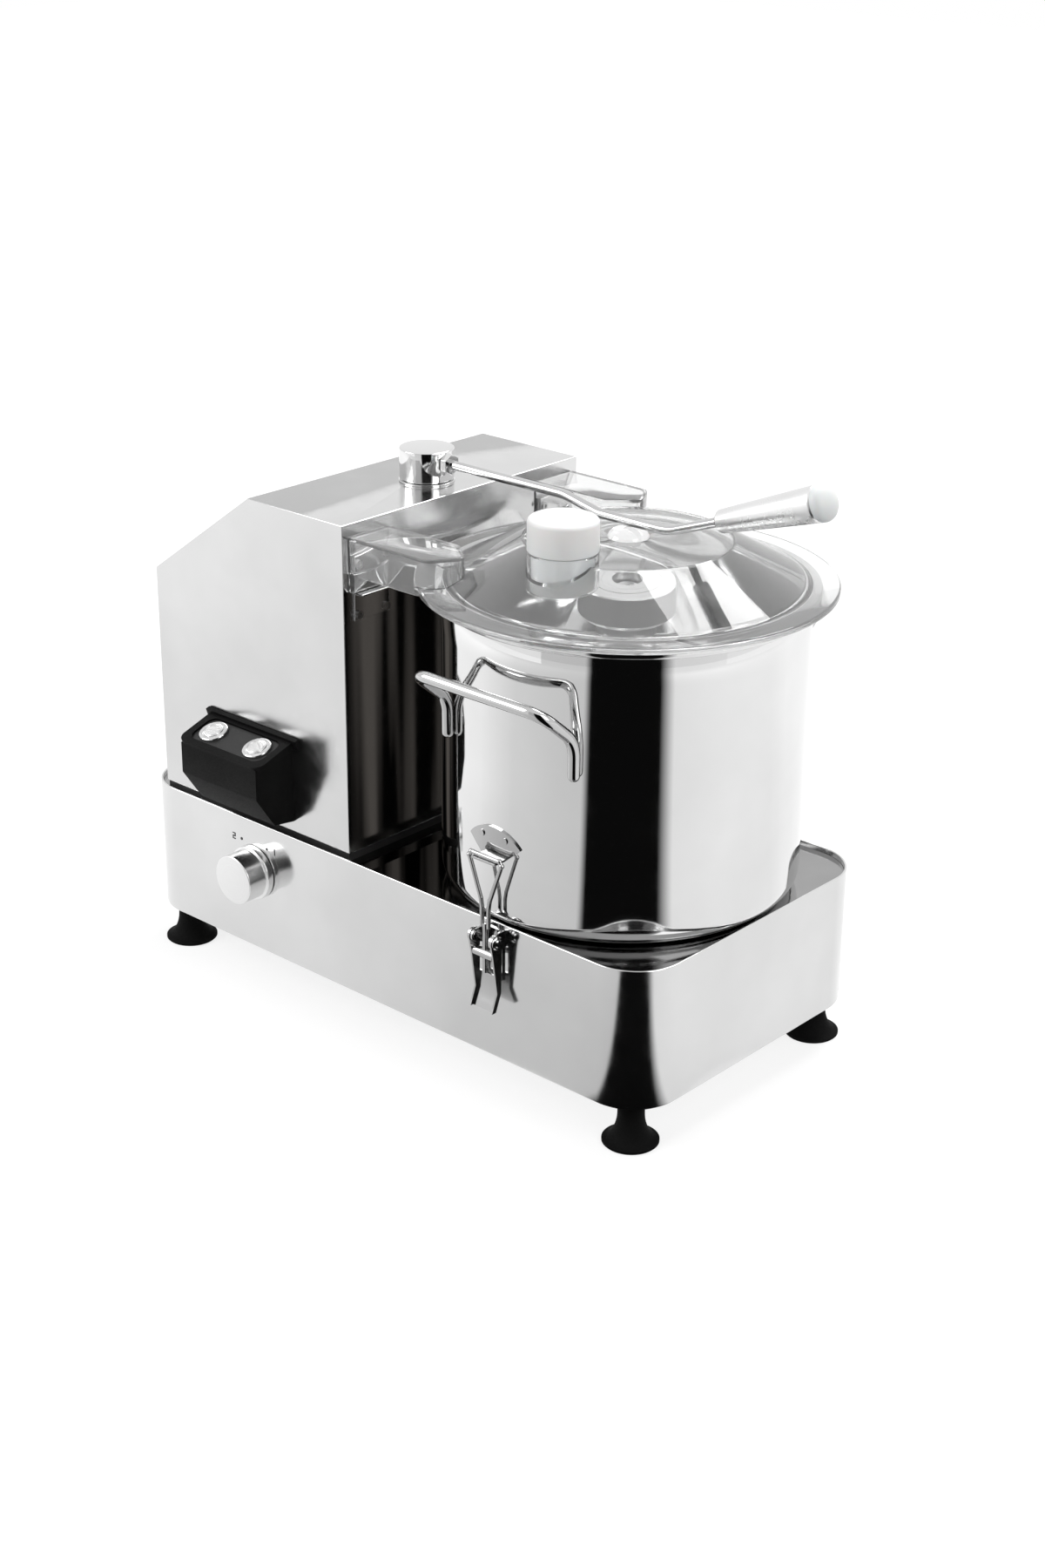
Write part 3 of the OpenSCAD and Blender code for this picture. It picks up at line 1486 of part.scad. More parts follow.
module cross_bar() {
  at_latch() difference() {
    union() {
      pin_bar(bail_out, -bail_drop, stud_r, lever_w);
      pin_bar(bail_out, -bail_drop, bar_r, lever_w - 2 * lever_t - 2 * lever_gap);
    }
    disc(0, -bail_out, -cut / 2, stud_r + rod_play, cut);
  }
}

module cross_bar_front() {
  color("lightgray") cross_bar();
}

module cross_bar_rear() {
  color("lightgray") mirror([0, 1, 0]) cross_bar();
}

module bail() {
  y = -bail_out;
  z = -bail_drop;
  neck_x = stud_r + wire_r * weld_share;
  weld_l = [-neck_x, y, z + weld_h];
  neck_l = [-neck_x, y, z + neck_h];
  top_l = [-bail_w / 2, y, z + bail_h];
  top_rt = [bail_w / 2, y, z + bail_h];
  neck_rt = [neck_x, y, z + neck_h];
  weld_rt = [neck_x, y, z + weld_h];
  at_latch() {
    rod_path(concat(
      [weld_l],
      bend(weld_l, neck_l, top_l, wire_bend),
      bend(neck_l, top_l, top_rt, wire_bend),
      bend(top_l, top_rt, neck_rt, wire_bend),
      bend(top_rt, neck_rt, weld_rt, wire_bend),
      [weld_rt]
    ), wire_r);
    disc(0, y, z - stud_down, stud_r, stud_down + weld_h + wire_bend);
  }
}

module bail_front() {
  color("silver") translate([2 * latch_x, 0, 0]) mirror([1, 0, 0]) bail();
}

module bail_rear() {
  color("silver") mirror([0, 1, 0]) bail();
}

module blade_carrier() {
  color("lightgray") translate([bowl_x, 0, 0]) difference() {
    rotate_extrude() polygon([
      [column_in_r, carrier_z],
      [collar_r, carrier_z],
      [collar_r, blade_low_z],
      [column_r, blade_low_z],
      [column_r, head_low_z],
      [head_r - head_bevel, head_low_z],
      [head_r, head_low_z + head_bevel],
      [head_r, head_top_z - head_groove_d],
      [head_r - head_groove_d, head_top_z],
      [head_groove_r + head_groove_w, head_top_z],
      [head_groove_r + head_groove_w, head_top_z - head_groove_d],
      [head_groove_r, head_top_z - head_groove_d],
      [head_groove_r, head_top_z],
      [well_r, head_top_z],
      [well_r, spindle_top_z],
      [spindle_r + rod_play, spindle_top_z],
      [spindle_r + rod_play, head_low_z],
      [column_in_r, head_low_z]
    ]);
    rotate([0, 0, set_hole_angle]) translate([head_r - set_hole_d, 0, (head_top_z + head_low_z) / 2]) rotate([0, 90, 0])
      cylinder(r = set_hole_r, h = cut);
  }
}

// A blade from above: two curved arms on a ring.
module blade_outline() {
  difference() {
    union() {
      circle(r = collar_r);
      for (a = [0, 180]) {
        rotate([0, 0, a]) intersection() {
          circle(r = blade_reach);
          translate([blade_back_r, 0]) difference() {
            circle(r = blade_back_r);
            translate([0, blade_edge_shift]) circle(r = blade_edge_r);
          }
        }
      }
    }
    circle(r = column_r + blade_play);
  }
}

module blade_lower() {
  color("silver") translate([bowl_x, 0, blade_low_z]) linear_extrude(height = blade_t) blade_outline();
}

module blade_upper() {
  color("silver") translate([bowl_x, 0, blade_high_z]) rotate([0, 0, 90]) linear_extrude(height = blade_t) blade_outline();
}

module blade_spacer() {
  color("gray") ring(bowl_x, 0, blade_low_z + blade_t, collar_r, column_r + blade_play, blade_gap);
}

module blade_clamp() {
  color("gray") ring(bowl_x, 0, clamp_z, collar_r, column_r + blade_play, clamp_h);
}

module carrier_bolt() {
  r = well_r * bolt_share;
  color("dimgray") difference() {
    disc(bowl_x, 0, spindle_top_z, r, well_h / 2);
    translate([bowl_x, 0, spindle_top_z + well_h / 4]) cylinder(r = r / 2, h = cut, $fn = 6);
  }
}

module spindle() {
  color("gray") disc(bowl_x, 0, pulley_z, spindle_r, spindle_top_z - pulley_z);
}

// A belt pulley with a groove of radius r around a bore.
module pulley(x, r, bore_r) {
  color("dimgray") translate([x, 0, pulley_z]) rotate_extrude() polygon([
    [bore_r, 0],
    [r + pulley_flange, 0],
    [r + pulley_flange, pulley_flange_t],
    [r, pulley_flange_t],
    [r, pulley_h - pulley_flange_t],
    [r + pulley_flange, pulley_h - pulley_flange_t],
    [r + pulley_flange, pulley_h],
    [bore_r, pulley_h]
  ]);
}

module spindle_pulley() {
  pulley(bowl_x, big_pulley_r, spindle_r + rod_play);
}

module motor_pulley() {
  pulley(motor_x, small_pulley_r, motor_shaft_r + rod_play);
}

module drive_belt() {
  color("black") translate([0, 0, belt_z]) linear_extrude(height = belt_w) difference() {
    belt_loop(belt_gap + belt_t);
    belt_loop(belt_gap);
  }
}

module belt_loop(t) {
  hull() {
    translate([bowl_x, 0]) circle(r = big_pulley_r + t);
    translate([motor_x, 0]) circle(r = small_pulley_r + t);
  }
}

module spindle_bearings() {
  r = spindle_r + spindle_play;
  color("silver") {
    ring(bowl_x, 0, deck_low_z - bearing_shoulder - bearing_w, bearing_r, r, bearing_w);
    ring(bowl_x, 0, boss_low_z + bearing_shoulder, bearing_r, r, bearing_w);
  }
}

module bearing_housing() {
  bore_r = bearing_r + bearing_play;
  hole_r = spindle_r + bearing_shoulder;
  color("darkgray") translate([bowl_x, 0, 0]) difference() {
    union() {
      disc(0, 0, boss_low_z, bearing_boss_r, bearing_boss_len);
      disc(0, 0, deck_low_z - bearing_flange_t, bearing_flange_r, bearing_flange_t);
      disc(0, 0, deck_low_z - sliver, bearing_neck_r, sheet_t + bearing_neck_h + sliver);
    }
    disc(0, 0, boss_low_z - cut / 2, hole_r, 2 * cut);
    disc(0, 0, boss_low_z + bearing_shoulder, bore_r, bearing_w);
    disc(0, 0, deck_low_z - bearing_shoulder - bearing_w, bore_r, bearing_w);
  }
}

module motor_body() {
  color("darkgray") difference() {
    union() {
      translate([motor_x - motor_foot_w / 2, -motor_foot_d / 2, deck_z]) cube([motor_foot_w, motor_foot_d, motor_foot_t]);
      disc(motor_x, 0, motor_z, motor_r, motor_h);
      disc(motor_x, 0, motor_z, motor_r + motor_rib, motor_shield_t);
      disc(motor_x, 0, motor_z + motor_h - motor_shield_t, motor_r + motor_rib, motor_shield_t);
      for (i = [0 : vent_count - 1]) {
        disc(motor_x, 0, motor_z + motor_shield_t + (i + 1) * (motor_h - 2 * motor_shield_t) / (vent_count + 1) - motor_rib / 2, motor_r + motor_rib, motor_rib);
      }
    }
    disc(motor_x, 0, deck_z - cut, motor_shaft_r + spindle_play, cut + motor_foot_t + motor_shaft_in + rod_play);
  }
}

module motor_shaft() {
  color("gray") disc(motor_x, 0, pulley_z, motor_shaft_r, motor_z + motor_shaft_in - pulley_z);
}

module control_board() {
  x = tower_x0 + tower_t;
  z = deck_z + tower_drop;
  color("green") translate([x, -board_w / 2, z]) {
    translate([board_stand, 0, 0]) cube([board_t, board_w, board_h]);
    for (y = [0, board_w - board_stand]) {
      for (h = [0, board_h - board_stand]) {
        translate([0, y, h]) cube([board_stand, board_stand, board_stand]);
      }
    }
    translate([board_stand + board_t, board_stand, board_stand]) cube([board_part_h, board_part_h, board_part_h]);
    translate([board_stand + board_t, board_w / 2, board_h / 3]) cube([board_part_h / 2, board_part_h * 2, board_part_h]);
  }
}

// The origin is on the floor under the middle of the whole machine.
translate([-middle_x, -middle_y, 0]) {
  base_shell();
  deck_plate();
  bottom_cover();
  feet();
  foot_screws();
  tower_seal();
  motor_tower();
  cable_gland();
  control_box();
  button_plate();
  button_bezels();
  button_switches();
  start_button();
  stop_button();
  speed_knob();
  knob_shaft();
  speed_switch();
  dial_marks();
  lid_rests();
  lid_sensors();
  guard_screws();
  arm_post();
  arm_washer();
  arm_hub();
  arm_nut();
  arm_rod();
  arm_grip();
  arm_cap();
  lid();
  lid_seal();
  pusher();
  bowl();
  bowl_handles();
  strike_plates();
  strike_rivets();
  latch_brackets();
  lever_pins();
  lever_front();
  lever_rear();
  cross_bar_front();
  cross_bar_rear();
  bail_front();
  bail_rear();
  blade_carrier();
  blade_lower();
  blade_upper();
  blade_spacer();
  blade_clamp();
  carrier_bolt();
  spindle();
  spindle_pulley();
  spindle_bearings();
  bearing_housing();
  motor_body();
  motor_shaft();
  motor_pulley();
  drive_belt();
  control_board();
}
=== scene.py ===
"""Looks of the bowl cutter: finishes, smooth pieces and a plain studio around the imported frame."""

import json
import math

import bmesh
import bpy
from mathutils import Matrix, Vector

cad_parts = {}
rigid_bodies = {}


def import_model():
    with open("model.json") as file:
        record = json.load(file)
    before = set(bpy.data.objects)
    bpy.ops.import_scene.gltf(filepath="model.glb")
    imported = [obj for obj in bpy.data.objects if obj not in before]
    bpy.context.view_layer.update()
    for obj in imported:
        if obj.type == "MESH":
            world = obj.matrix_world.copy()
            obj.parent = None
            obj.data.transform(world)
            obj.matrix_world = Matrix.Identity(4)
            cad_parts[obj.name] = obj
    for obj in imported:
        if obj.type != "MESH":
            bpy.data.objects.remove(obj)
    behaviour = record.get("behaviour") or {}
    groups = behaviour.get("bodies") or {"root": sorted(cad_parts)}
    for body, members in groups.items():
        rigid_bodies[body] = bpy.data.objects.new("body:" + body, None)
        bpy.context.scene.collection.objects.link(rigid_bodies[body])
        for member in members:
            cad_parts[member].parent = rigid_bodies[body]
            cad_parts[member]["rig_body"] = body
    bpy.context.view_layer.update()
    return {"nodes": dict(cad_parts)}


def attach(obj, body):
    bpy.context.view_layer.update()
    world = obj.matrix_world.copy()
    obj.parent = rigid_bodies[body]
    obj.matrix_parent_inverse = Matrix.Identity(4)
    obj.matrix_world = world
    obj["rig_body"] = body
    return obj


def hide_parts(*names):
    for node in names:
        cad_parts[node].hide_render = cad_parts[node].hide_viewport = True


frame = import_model()
MM = 0.001

# Places are in millimetres from the middle of the base tray, as in the part's source.
# The row's origin is under the middle of the whole machine, which is this far from it.
MIDDLE = Vector((18.560, -1.688, 0.0))

# Places and sizes that several pieces share.
BOWL = (120.0, 0.0)
BOWL_R = 121.0
WALL = 1.2
DECK = 128.0
RIM = 333.0
CHUTE = (120, -64)
ARM = (-60.8, 0.0)
KNOB_X = -117
KNOB_Z = 93.4

# Edges that turn by more than this many degrees stay hard.
SHARP = 30


def spot(x, y, z):
    """A place measured from the middle of the base tray in millimetres, as metres in the row's frame."""
    return (Vector((x, y, z)) - MIDDLE) * MM


# Materials
def node(nt, kind, links=None, **values):
    """A shader node with its settings, and its inputs set or linked by name or number."""
    n = nt.nodes.new(kind)
    for key, value in values.items():
        setattr(n, key, value)
    for key, value in (links or {}).items():
        if isinstance(value, bpy.types.NodeSocket):
            nt.links.new(value, n.inputs[key])
        else:
            n.inputs[key].default_value = value
    return n


def maths(nt, operation, *terms):
    """The result of one sum on numbers, each a link or a value."""
    return node(nt, "ShaderNodeMath", dict(enumerate(terms)), operation=operation).outputs[0]


def vectors(nt, operation, *terms):
    """The node of one sum on vectors, each a link or a value."""
    return node(nt, "ShaderNodeVectorMath", dict(enumerate(terms)), operation=operation)


def new_material(name, **values):
    m = bpy.data.materials.new(name)
    m.use_nodes = True
    nt = m.node_tree
    shader = nt.nodes["Principled BSDF"]
    for key, value in values.items():
        shader.inputs[key.replace("_", " ")].default_value = value
    return m, nt, shader


def coords(nt, scale=(1, 1, 1)):
    """Object coordinates in metres, stretched for brushed or drawn surfaces."""
    tex = node(nt, "ShaderNodeTexCoord")
    return node(nt, "ShaderNodeMapping", {"Vector": tex.outputs["Object"], "Scale": scale}).outputs[0]


def noise(nt, vector, scale, detail=3.0, rough=0.5, distort=0.0):
    return node(
        nt,
        "ShaderNodeTexNoise",
        {"Vector": vector, "Scale": scale, "Detail": detail, "Roughness": rough, "Distortion": distort},
    ).outputs["Fac"]


def spread(nt, value, low, high, start=0.3, end=0.7):
    """Maps a noise value from start..end to low..high."""
    return node(
        nt,
        "ShaderNodeMapRange",
        {"Value": value, "From Min": start, "From Max": end, "To Min": low, "To Max": high},
    ).outputs[0]


def tint(nt, value, dark, light, start=0.3, end=0.7):
    ramp = node(nt, "ShaderNodeValToRGB", {"Fac": value})
    ramp.color_ramp.elements[0].position = start
    ramp.color_ramp.elements[1].position = end
    ramp.color_ramp.elements[0].color = (*dark, 1)
    ramp.color_ramp.elements[1].color = (*light, 1)
    return ramp.outputs[0]


def bump(nt, shader, height, strength, distance, below=None):
    links = {"Height": height, "Strength": strength, "Distance": distance}
    if below is not None:
        links["Normal"] = below
    out = node(nt, "ShaderNodeBump", links).outputs[0]
    nt.links.new(out, shader.inputs["Normal"])
    return out


def grey(v):
    return (v, v, v)


def metal(name, dark, light, rough, smudge, grain=None, wave=0.0):
    """Worked metal, its fine lines stretched by grain and its sheet out of flat by wave millimetres."""
    m, nt, shader = new_material(name, Metallic=1.0)
    plain = coords(nt)
    cloud = noise(nt, plain, 9.0, 4.0, 0.55)
    nt.links.new(tint(nt, cloud, dark, light), shader.inputs["Base Color"])
    fine = noise(nt, plain, 60.0, 5.0, 0.6)
    both = maths(nt, "MULTIPLY", cloud, fine)
    nt.links.new(spread(nt, both, rough, rough + smudge, 0.15, 0.4), shader.inputs["Roughness"])
    below = None
    if wave:
        below = bump(nt, shader, noise(nt, plain, 5.0, 1.0), 1.0, wave * MM)
    if grain:
        lines = noise(nt, coords(nt, grain), 40.0, 4.0, 0.7)
        bump(nt, shader, lines, 0.12, 0.05 * MM, below)
    return m


def turned_metal(name, dark, light, rough, centre, axis, pitch):
    """Metal turned on a lathe: rings round an axis through centre, about pitch millimetres apart."""
    m, nt, shader = new_material(name, Metallic=1.0)
    tex = node(nt, "ShaderNodeTexCoord")
    moved = vectors(nt, "SUBTRACT", tex.outputs["Object"], spot(*centre)).outputs[0]
    across = tuple(0.0 if abs(a) > 0.9 else 1.0 for a in axis)
    flat = vectors(nt, "MULTIPLY", moved, across).outputs[0]
    radius = vectors(nt, "LENGTH", flat).outputs["Value"]
    ringed = node(nt, "ShaderNodeCombineXYZ", {0: radius}).outputs[0]
    rings = noise(nt, ringed, 1.0 / (pitch * MM), 3.0, 0.7)
    nt.links.new(tint(nt, rings, dark, light, 0.35, 0.65), shader.inputs["Base Color"])
    nt.links.new(spread(nt, rings, rough, rough + 0.12), shader.inputs["Roughness"])
    bump(nt, shader, rings, 0.35, 0.04 * MM)
    return m


def plastic(name, dark, light, rough, grain=900.0, depth=0.03, strength=0.25, **values):
    """Moulded plastic or rubber with a fine grain."""
    m, nt, shader = new_material(name, **values)
    plain = coords(nt)
    cloud = noise(nt, plain, 25.0, 4.0)
    nt.links.new(tint(nt, cloud, dark, light), shader.inputs["Base Color"])
    skin = noise(nt, plain, grain, 2.0)
    nt.links.new(spread(nt, skin, rough - 0.05, rough + 0.08), shader.inputs["Roughness"])
    bump(nt, shader, skin, strength, depth * MM)
    return m


def clear(name, colour, rough=0.015):
    """Clear moulded plastic with faint scratches."""
    m, nt, shader = new_material(name, Transmission_Weight=0.93, IOR=1.47)
    plain = coords(nt)
    cloud = noise(nt, plain, 12.0, 3.0)
    nt.links.new(tint(nt, cloud, colour, (1.0, 1.0, 1.0)), shader.inputs["Base Color"])
    marks = noise(nt, coords(nt, (1, 12, 1)), 70.0, 6.0, 0.85, 1.5)
    nt.links.new(spread(nt, marks, rough, rough + 0.12, 0.66, 0.78), shader.inputs["Roughness"])
    bump(nt, shader, noise(nt, plain, 18.0, 2.0), 0.25, 0.15 * MM)
    return m


polished = metal("polished_steel", grey(0.70), grey(0.77), 0.035, wave=0.05, smudge=0.05)
# The bowl's inside gets a lighter copy of the polished steel: painted light.
polished_painted_lighter = metal("polished_steel_painted_lighter", grey(0.90), grey(0.95), 0.05, wave=0.05, smudge=0.05)
tray_steel = metal("tray_steel", grey(0.66), grey(0.73), 0.10, grain=(1, 1, 30), wave=0.25, smudge=0.08)
tower_steel = metal("tower_steel", grey(0.61), grey(0.69), 0.13, grain=(30, 30, 1), wave=0.25, smudge=0.10)
# The deck's steel is coloured far darker than the other steel: painted shade, standing in for the dark that
# its polished face reflects.
deck_steel_painted_dark = metal("deck_steel_painted_dark", grey(0.30), grey(0.38), 0.06, grain=(1, 25, 1), wave=0.1, smudge=0.08)
rod_steel = metal("rod_steel", grey(0.52), grey(0.62), 0.05, smudge=0.06)
latch_steel = metal("latch_steel", grey(0.44), grey(0.54), 0.09, smudge=0.10)
zinc = metal("zinc_steel", grey(0.50), grey(0.60), 0.28, smudge=0.12)
grip_steel = metal("grip_steel", grey(0.74), grey(0.82), 0.24, grain=(40, 3, 3), smudge=0.10)
blade_steel = metal("blade_steel", grey(0.58), grey(0.66), 0.14, grain=(20, 1, 1), smudge=0.10)
cast = metal("cast_alloy", grey(0.30), grey(0.40), 0.45, smudge=0.2)
iron = metal("motor_iron", grey(0.10), grey(0.16), 0.5, smudge=0.2)
rubber = plastic("black_rubber", grey(0.003), grey(0.006), 0.75, 700.0, 0.05, Specular_IOR_Level=0.08)
black = plastic("black_plastic", grey(0.003), grey(0.008), 0.50, 900.0, 0.05, 0.35, Specular_IOR_Level=0.07)
panel = plastic("panel_black", grey(0.030), grey(0.045), 0.42, 900.0, 0.04, 0.3, Specular_IOR_Level=0.2)
WHITE_DARK, WHITE_LIGHT = (0.86, 0.86, 0.855), (0.91, 0.91, 0.905)
white = plastic("white_plastic", WHITE_DARK, WHITE_LIGHT, 0.38, 500.0, 0.02, 0.15, Subsurface_Weight=0.08)
silicone = plastic("seal_silicone", grey(0.55), grey(0.66), 0.4, 500.0, 0.02)
print_black = plastic("print_black", grey(0.015), grey(0.03), 0.5, 800.0, 0.01)
board_green = plastic("board_green", (0.01, 0.10, 0.04), (0.015, 0.16, 0.06), 0.35, 300.0, 0.02)
lid_clear = clear("lid_clear", (0.985, 0.99, 0.99))
knob_metal = turned_metal("knob_metal", grey(0.74), grey(0.86), 0.18, (KNOB_X, 0, KNOB_Z), (0, 1, 0), 0.5)
head_metal = turned_metal("head_metal", grey(0.74), grey(0.84), 0.24, (*BOWL, 327), (0, 0, 1), 0.6)

FINISH = {
    "base_shell": tray_steel,
    "deck_plate": deck_steel_painted_dark,
    "bottom_cover": zinc,
    "feet": rubber,
    "foot_screws": zinc,
    "tower_seal": print_black,
    "motor_tower": tower_steel,
    "cable_gland": black,
    "control_box": black,
    "button_plate": panel,
    "button_bezels": polished,
    "button_switches": black,
    "start_button": knob_metal,
    "stop_button": knob_metal,
    "speed_knob": knob_metal,
    "knob_shaft": zinc,
    "speed_switch": black,
    "dial_marks": print_black,
    "lid_rests": tower_steel,
    "lid_sensors": tower_steel,
    "guard_screws": zinc,
    "arm_post": zinc,
    "arm_washer": polished,
    "arm_hub": polished,
    "arm_nut": polished,
    "arm_rod": rod_steel,
    "arm_grip": grip_steel,
    "arm_cap": white,
    "lid": lid_clear,
    "lid_seal": silicone,
    "pusher": white,
    "bowl": polished,
    "bowl_handles": rod_steel,
    "strike_plates": latch_steel,
    "strike_rivets": latch_steel,
    "latch_brackets": latch_steel,
    "lever_pins": latch_steel,
    "lever_front": latch_steel,
    "lever_rear": latch_steel,
    "cross_bar_front": latch_steel,
    "cross_bar_rear": latch_steel,
    "bail_front": latch_steel,
    "bail_rear": latch_steel,
    "blade_carrier": head_metal,
    "blade_lower": blade_steel,
    "blade_upper": blade_steel,
    "blade_spacer": head_metal,
    "blade_clamp": head_metal,
    "carrier_bolt": zinc,
    "spindle": zinc,
    "spindle_pulley": cast,
    "spindle_bearings": zinc,
    "bearing_housing": cast,
    "motor_body": iron,
    "motor_shaft": zinc,
    "motor_pulley": cast,
    "drive_belt": rubber,
    "control_board": board_green,
}
for name, finish in FINISH.items():
    for s in frame["nodes"][name].material_slots:
        s.material = finish


# Mesh helpers, in millimetres
def fillet(points, radii, steps, closed=True):
    """A flat outline or 3-D path with round corners, a radius for each of its points."""
    out, n = [], len(points)
    for i, raw in enumerate(points):
        p = Vector(raw)
        r = radii[i]
        if r <= 0 or (not closed and i in (0, n - 1)):
            out.append(p)
            continue
        a, b = Vector(points[i - 1]), Vector(points[(i + 1) % n])
        u, v = (a - p).normalized(), (b - p).normalized()
        corner = u.angle(v)
        if corner > math.radians(179):
            out.append(p)
            continue
        back = min(r / math.tan(corner / 2), 0.49 * (a - p).length, 0.49 * (b - p).length)
        r = back * math.tan(corner / 2)
        c = p + (u + v).normalized() * (r / math.sin(corner / 2))
        e, f = p + u * back - c, p + v * back - c
        whole = e.angle(f)
        for k in range(steps + 1):
            t = k / steps
            out.append(c + (e * math.sin((1 - t) * whole) + f * math.sin(t * whole)) / math.sin(whole))
    return out


def round_edges(bm, edges, width):
    """Rounds these edges of a mesh by width, in three steps."""
    bmesh.ops.bevel(
        bm, geom=edges, offset=width, segments=3, profile=0.5, affect="EDGES", clamp_overlap=True
    )


def keep_hard(bm, sharp):
    """Shades a mesh smooth, except across edges that turn by more than sharp degrees."""
    for f in bm.faces:
        f.smooth = True
    for e in bm.edges:
        e.smooth = len(e.link_faces) == 2 and e.calc_face_angle() < math.radians(sharp)


def solid(name, bm, finish=None, sharp=SHARP, bevel=0.0):
    """Makes an object of a mesh built in millimetres, with hard edges kept hard."""
    bmesh.ops.remove_doubles(bm, verts=bm.verts, dist=1e-4)
    bmesh.ops.recalc_face_normals(bm, faces=bm.faces)
    if bevel:
        turn = math.radians(sharp)
        round_edges(bm, [e for e in bm.edges if len(e.link_faces) == 2 and e.calc_face_angle() > turn], bevel)
    keep_hard(bm, sharp)
    bmesh.ops.translate(bm, vec=-MIDDLE, verts=bm.verts)
    bmesh.ops.scale(bm, vec=(MM, MM, MM), verts=bm.verts)
    mesh = bpy.data.meshes.new(name)
    bm.to_mesh(mesh)
    bm.free()
    if finish:
        mesh.materials.append(finish)
    o = bpy.data.objects.new(name, mesh)
    bpy.context.collection.objects.link(o)
    return o


def piece(name, bm, body, finish, replaced, sharp):
    return dress(solid(name, bm, finish, sharp), body, replaced)


def dress(o, body, replaced=()):
    """Sets an object on its body, and lets it stand for its CAD nodes."""
    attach(o, body)
    if replaced:
        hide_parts(*([replaced] if isinstance(replaced, str) else replaced))
    return o


def softened(name, width, shortest):
    """A CAD node's own mesh, with its outer edges of at least the shortest length rounded by width."""
    turn = 40
    cad = frame["nodes"][name]
    bm = bmesh.new()
    bm.from_mesh(cad.data)
    bmesh.ops.remove_doubles(bm, verts=bm.verts, dist=1e-6)
    bmesh.ops.scale(bm, vec=(1 / MM, 1 / MM, 1 / MM), verts=bm.verts)
    bmesh.ops.dissolve_limit(bm, angle_limit=math.radians(0.5), verts=bm.verts, edges=bm.edges)
    outer = [
        e for e in bm.edges
        if len(e.link_faces) == 2 and e.is_convex
        and e.calc_face_angle() > math.radians(turn) and e.calc_length() >= shortest
    ]
    round_edges(bm, outer, width)
    bmesh.ops.translate(bm, vec=MIDDLE, verts=bm.verts)
    o = piece(name + "_soft", bm, cad["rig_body"], FINISH[name], name, turn)
    even = o.modifiers.new("even", "WEIGHTED_NORMAL")
    even.keep_sharp = True
    return o


def lathe(bm, outline, place, seg, closed=True):
    """Turns an outline of (radius, height) round the z axis of place."""
    turns = [2 * math.pi * k / seg for k in range(seg)]
    rings = []
    for p in outline:
        if abs(p[0]) < 1e-6:
            rings.append([bm.verts.new(place @ Vector((0, 0, p[1])))])
        else:
            ring = [Vector((p[0] * math.cos(t), p[0] * math.sin(t), p[1])) for t in turns]
            rings.append([bm.verts.new(place @ v) for v in ring])
    pairs = list(zip(rings, rings[1:])) + ([(rings[-1], rings[0])] if closed else [])
    for a, b in pairs:
        for k in range(seg):
            quad = [a[k % len(a)], a[(k + 1) % len(a)], b[(k + 1) % len(b)], b[k % len(b)]]
            quad = list(dict.fromkeys(quad))
            if len(quad) > 2:
                bm.faces.new(quad)


def tube(bm, path, radius, seg, round_ends=True):
    """A round rod along a path, its ends domed."""
    path = [Vector(p) for p in path]
    radii = [radius] * len(path)
    if round_ends:
        a, b = (path[0] - path[1]).normalized(), (path[-1] - path[-2]).normalized()
        dome = [(math.sin(t), math.cos(t)) for t in (math.pi / 2 * k / 5 for k in range(1, 6))]
        narrowing = [radius * max(c, 0.02) for s, c in dome]
        first = [path[0] + a * radius * s for s, c in reversed(dome)]
        last = [path[-1] + b * radius * s for s, c in dome]
        path = first + path + last
        radii = narrowing[::-1] + radii + narrowing
    side = Vector((0, 0, 1)).cross(path[1] - path[0])
    side = side.normalized() if side.length > 1e-3 else Vector((1, 0, 0))
    rings = []
    for i, p in enumerate(path):
        t = (path[min(i + 1, len(path) - 1)] - path[max(i - 1, 0)]).normalized()
        side = (side - t * side.dot(t)).normalized()
        other = t.cross(side)
        turns = (2 * math.pi * k / seg for k in range(seg))
        rim = [side * math.cos(g) + other * math.sin(g) for g in turns]
        rings.append([bm.verts.new(p + radii[i] * d) for d in rim])
    for a, b in zip(rings, rings[1:]):
        for k in range(seg):
            bm.faces.new([a[k], a[(k + 1) % seg], b[(k + 1) % seg], b[k]])
    bm.faces.new(rings[0])
    bm.faces.new(list(reversed(rings[-1])))


def prism(bm, outline, lift, low, high):
    """An outline raised from low to high. lift(x, y, h) gives the point in space."""
    a = [bm.verts.new(lift(p[0], p[1], low)) for p in outline]
    b = [bm.verts.new(lift(p[0], p[1], high)) for p in outline]
    n = len(outline)
    for k in range(n):
        bm.faces.new([a[k], a[(k + 1) % n], b[(k + 1) % n], b[k]])
    bm.faces.new(a)
    bm.faces.new(list(reversed(b)))


def cut_out(o, *cutters):
    """Takes the cutters' shapes out of o and deletes them."""
    for c in cutters:
        m = o.modifiers.new("cut", "BOOLEAN")
        m.object, m.operation, m.solver = c, "DIFFERENCE", "EXACT"
    bake(o, cutters)


def join_on(o, *others):
    """Unites the others with o, as one closed skin."""
    for c in others:
        m = o.modifiers.new("join", "BOOLEAN")
        m.object, m.operation, m.solver = c, "UNION", "EXACT"
    bake(o, others)


def bake(o, gone):
    """Fixes an object's modifiers in its mesh, and deletes the objects that they used."""
    bpy.context.view_layer.update()
    done = bpy.data.meshes.new_from_object(o.evaluated_get(bpy.context.evaluated_depsgraph_get()))
    o.modifiers.clear()
    o.data = done
    for c in gone:
        bpy.data.objects.remove(c)
    bm = bmesh.new()
    bm.from_mesh(done)
    bmesh.ops.remove_doubles(bm, verts=bm.verts, dist=1e-7)
    keep_hard(bm, SHARP)
    bm.to_mesh(done)
    bm.free()


def at(x, y, z=0.0, turned=Matrix()):
    return Matrix.Translation((x, y, z)) @ turned


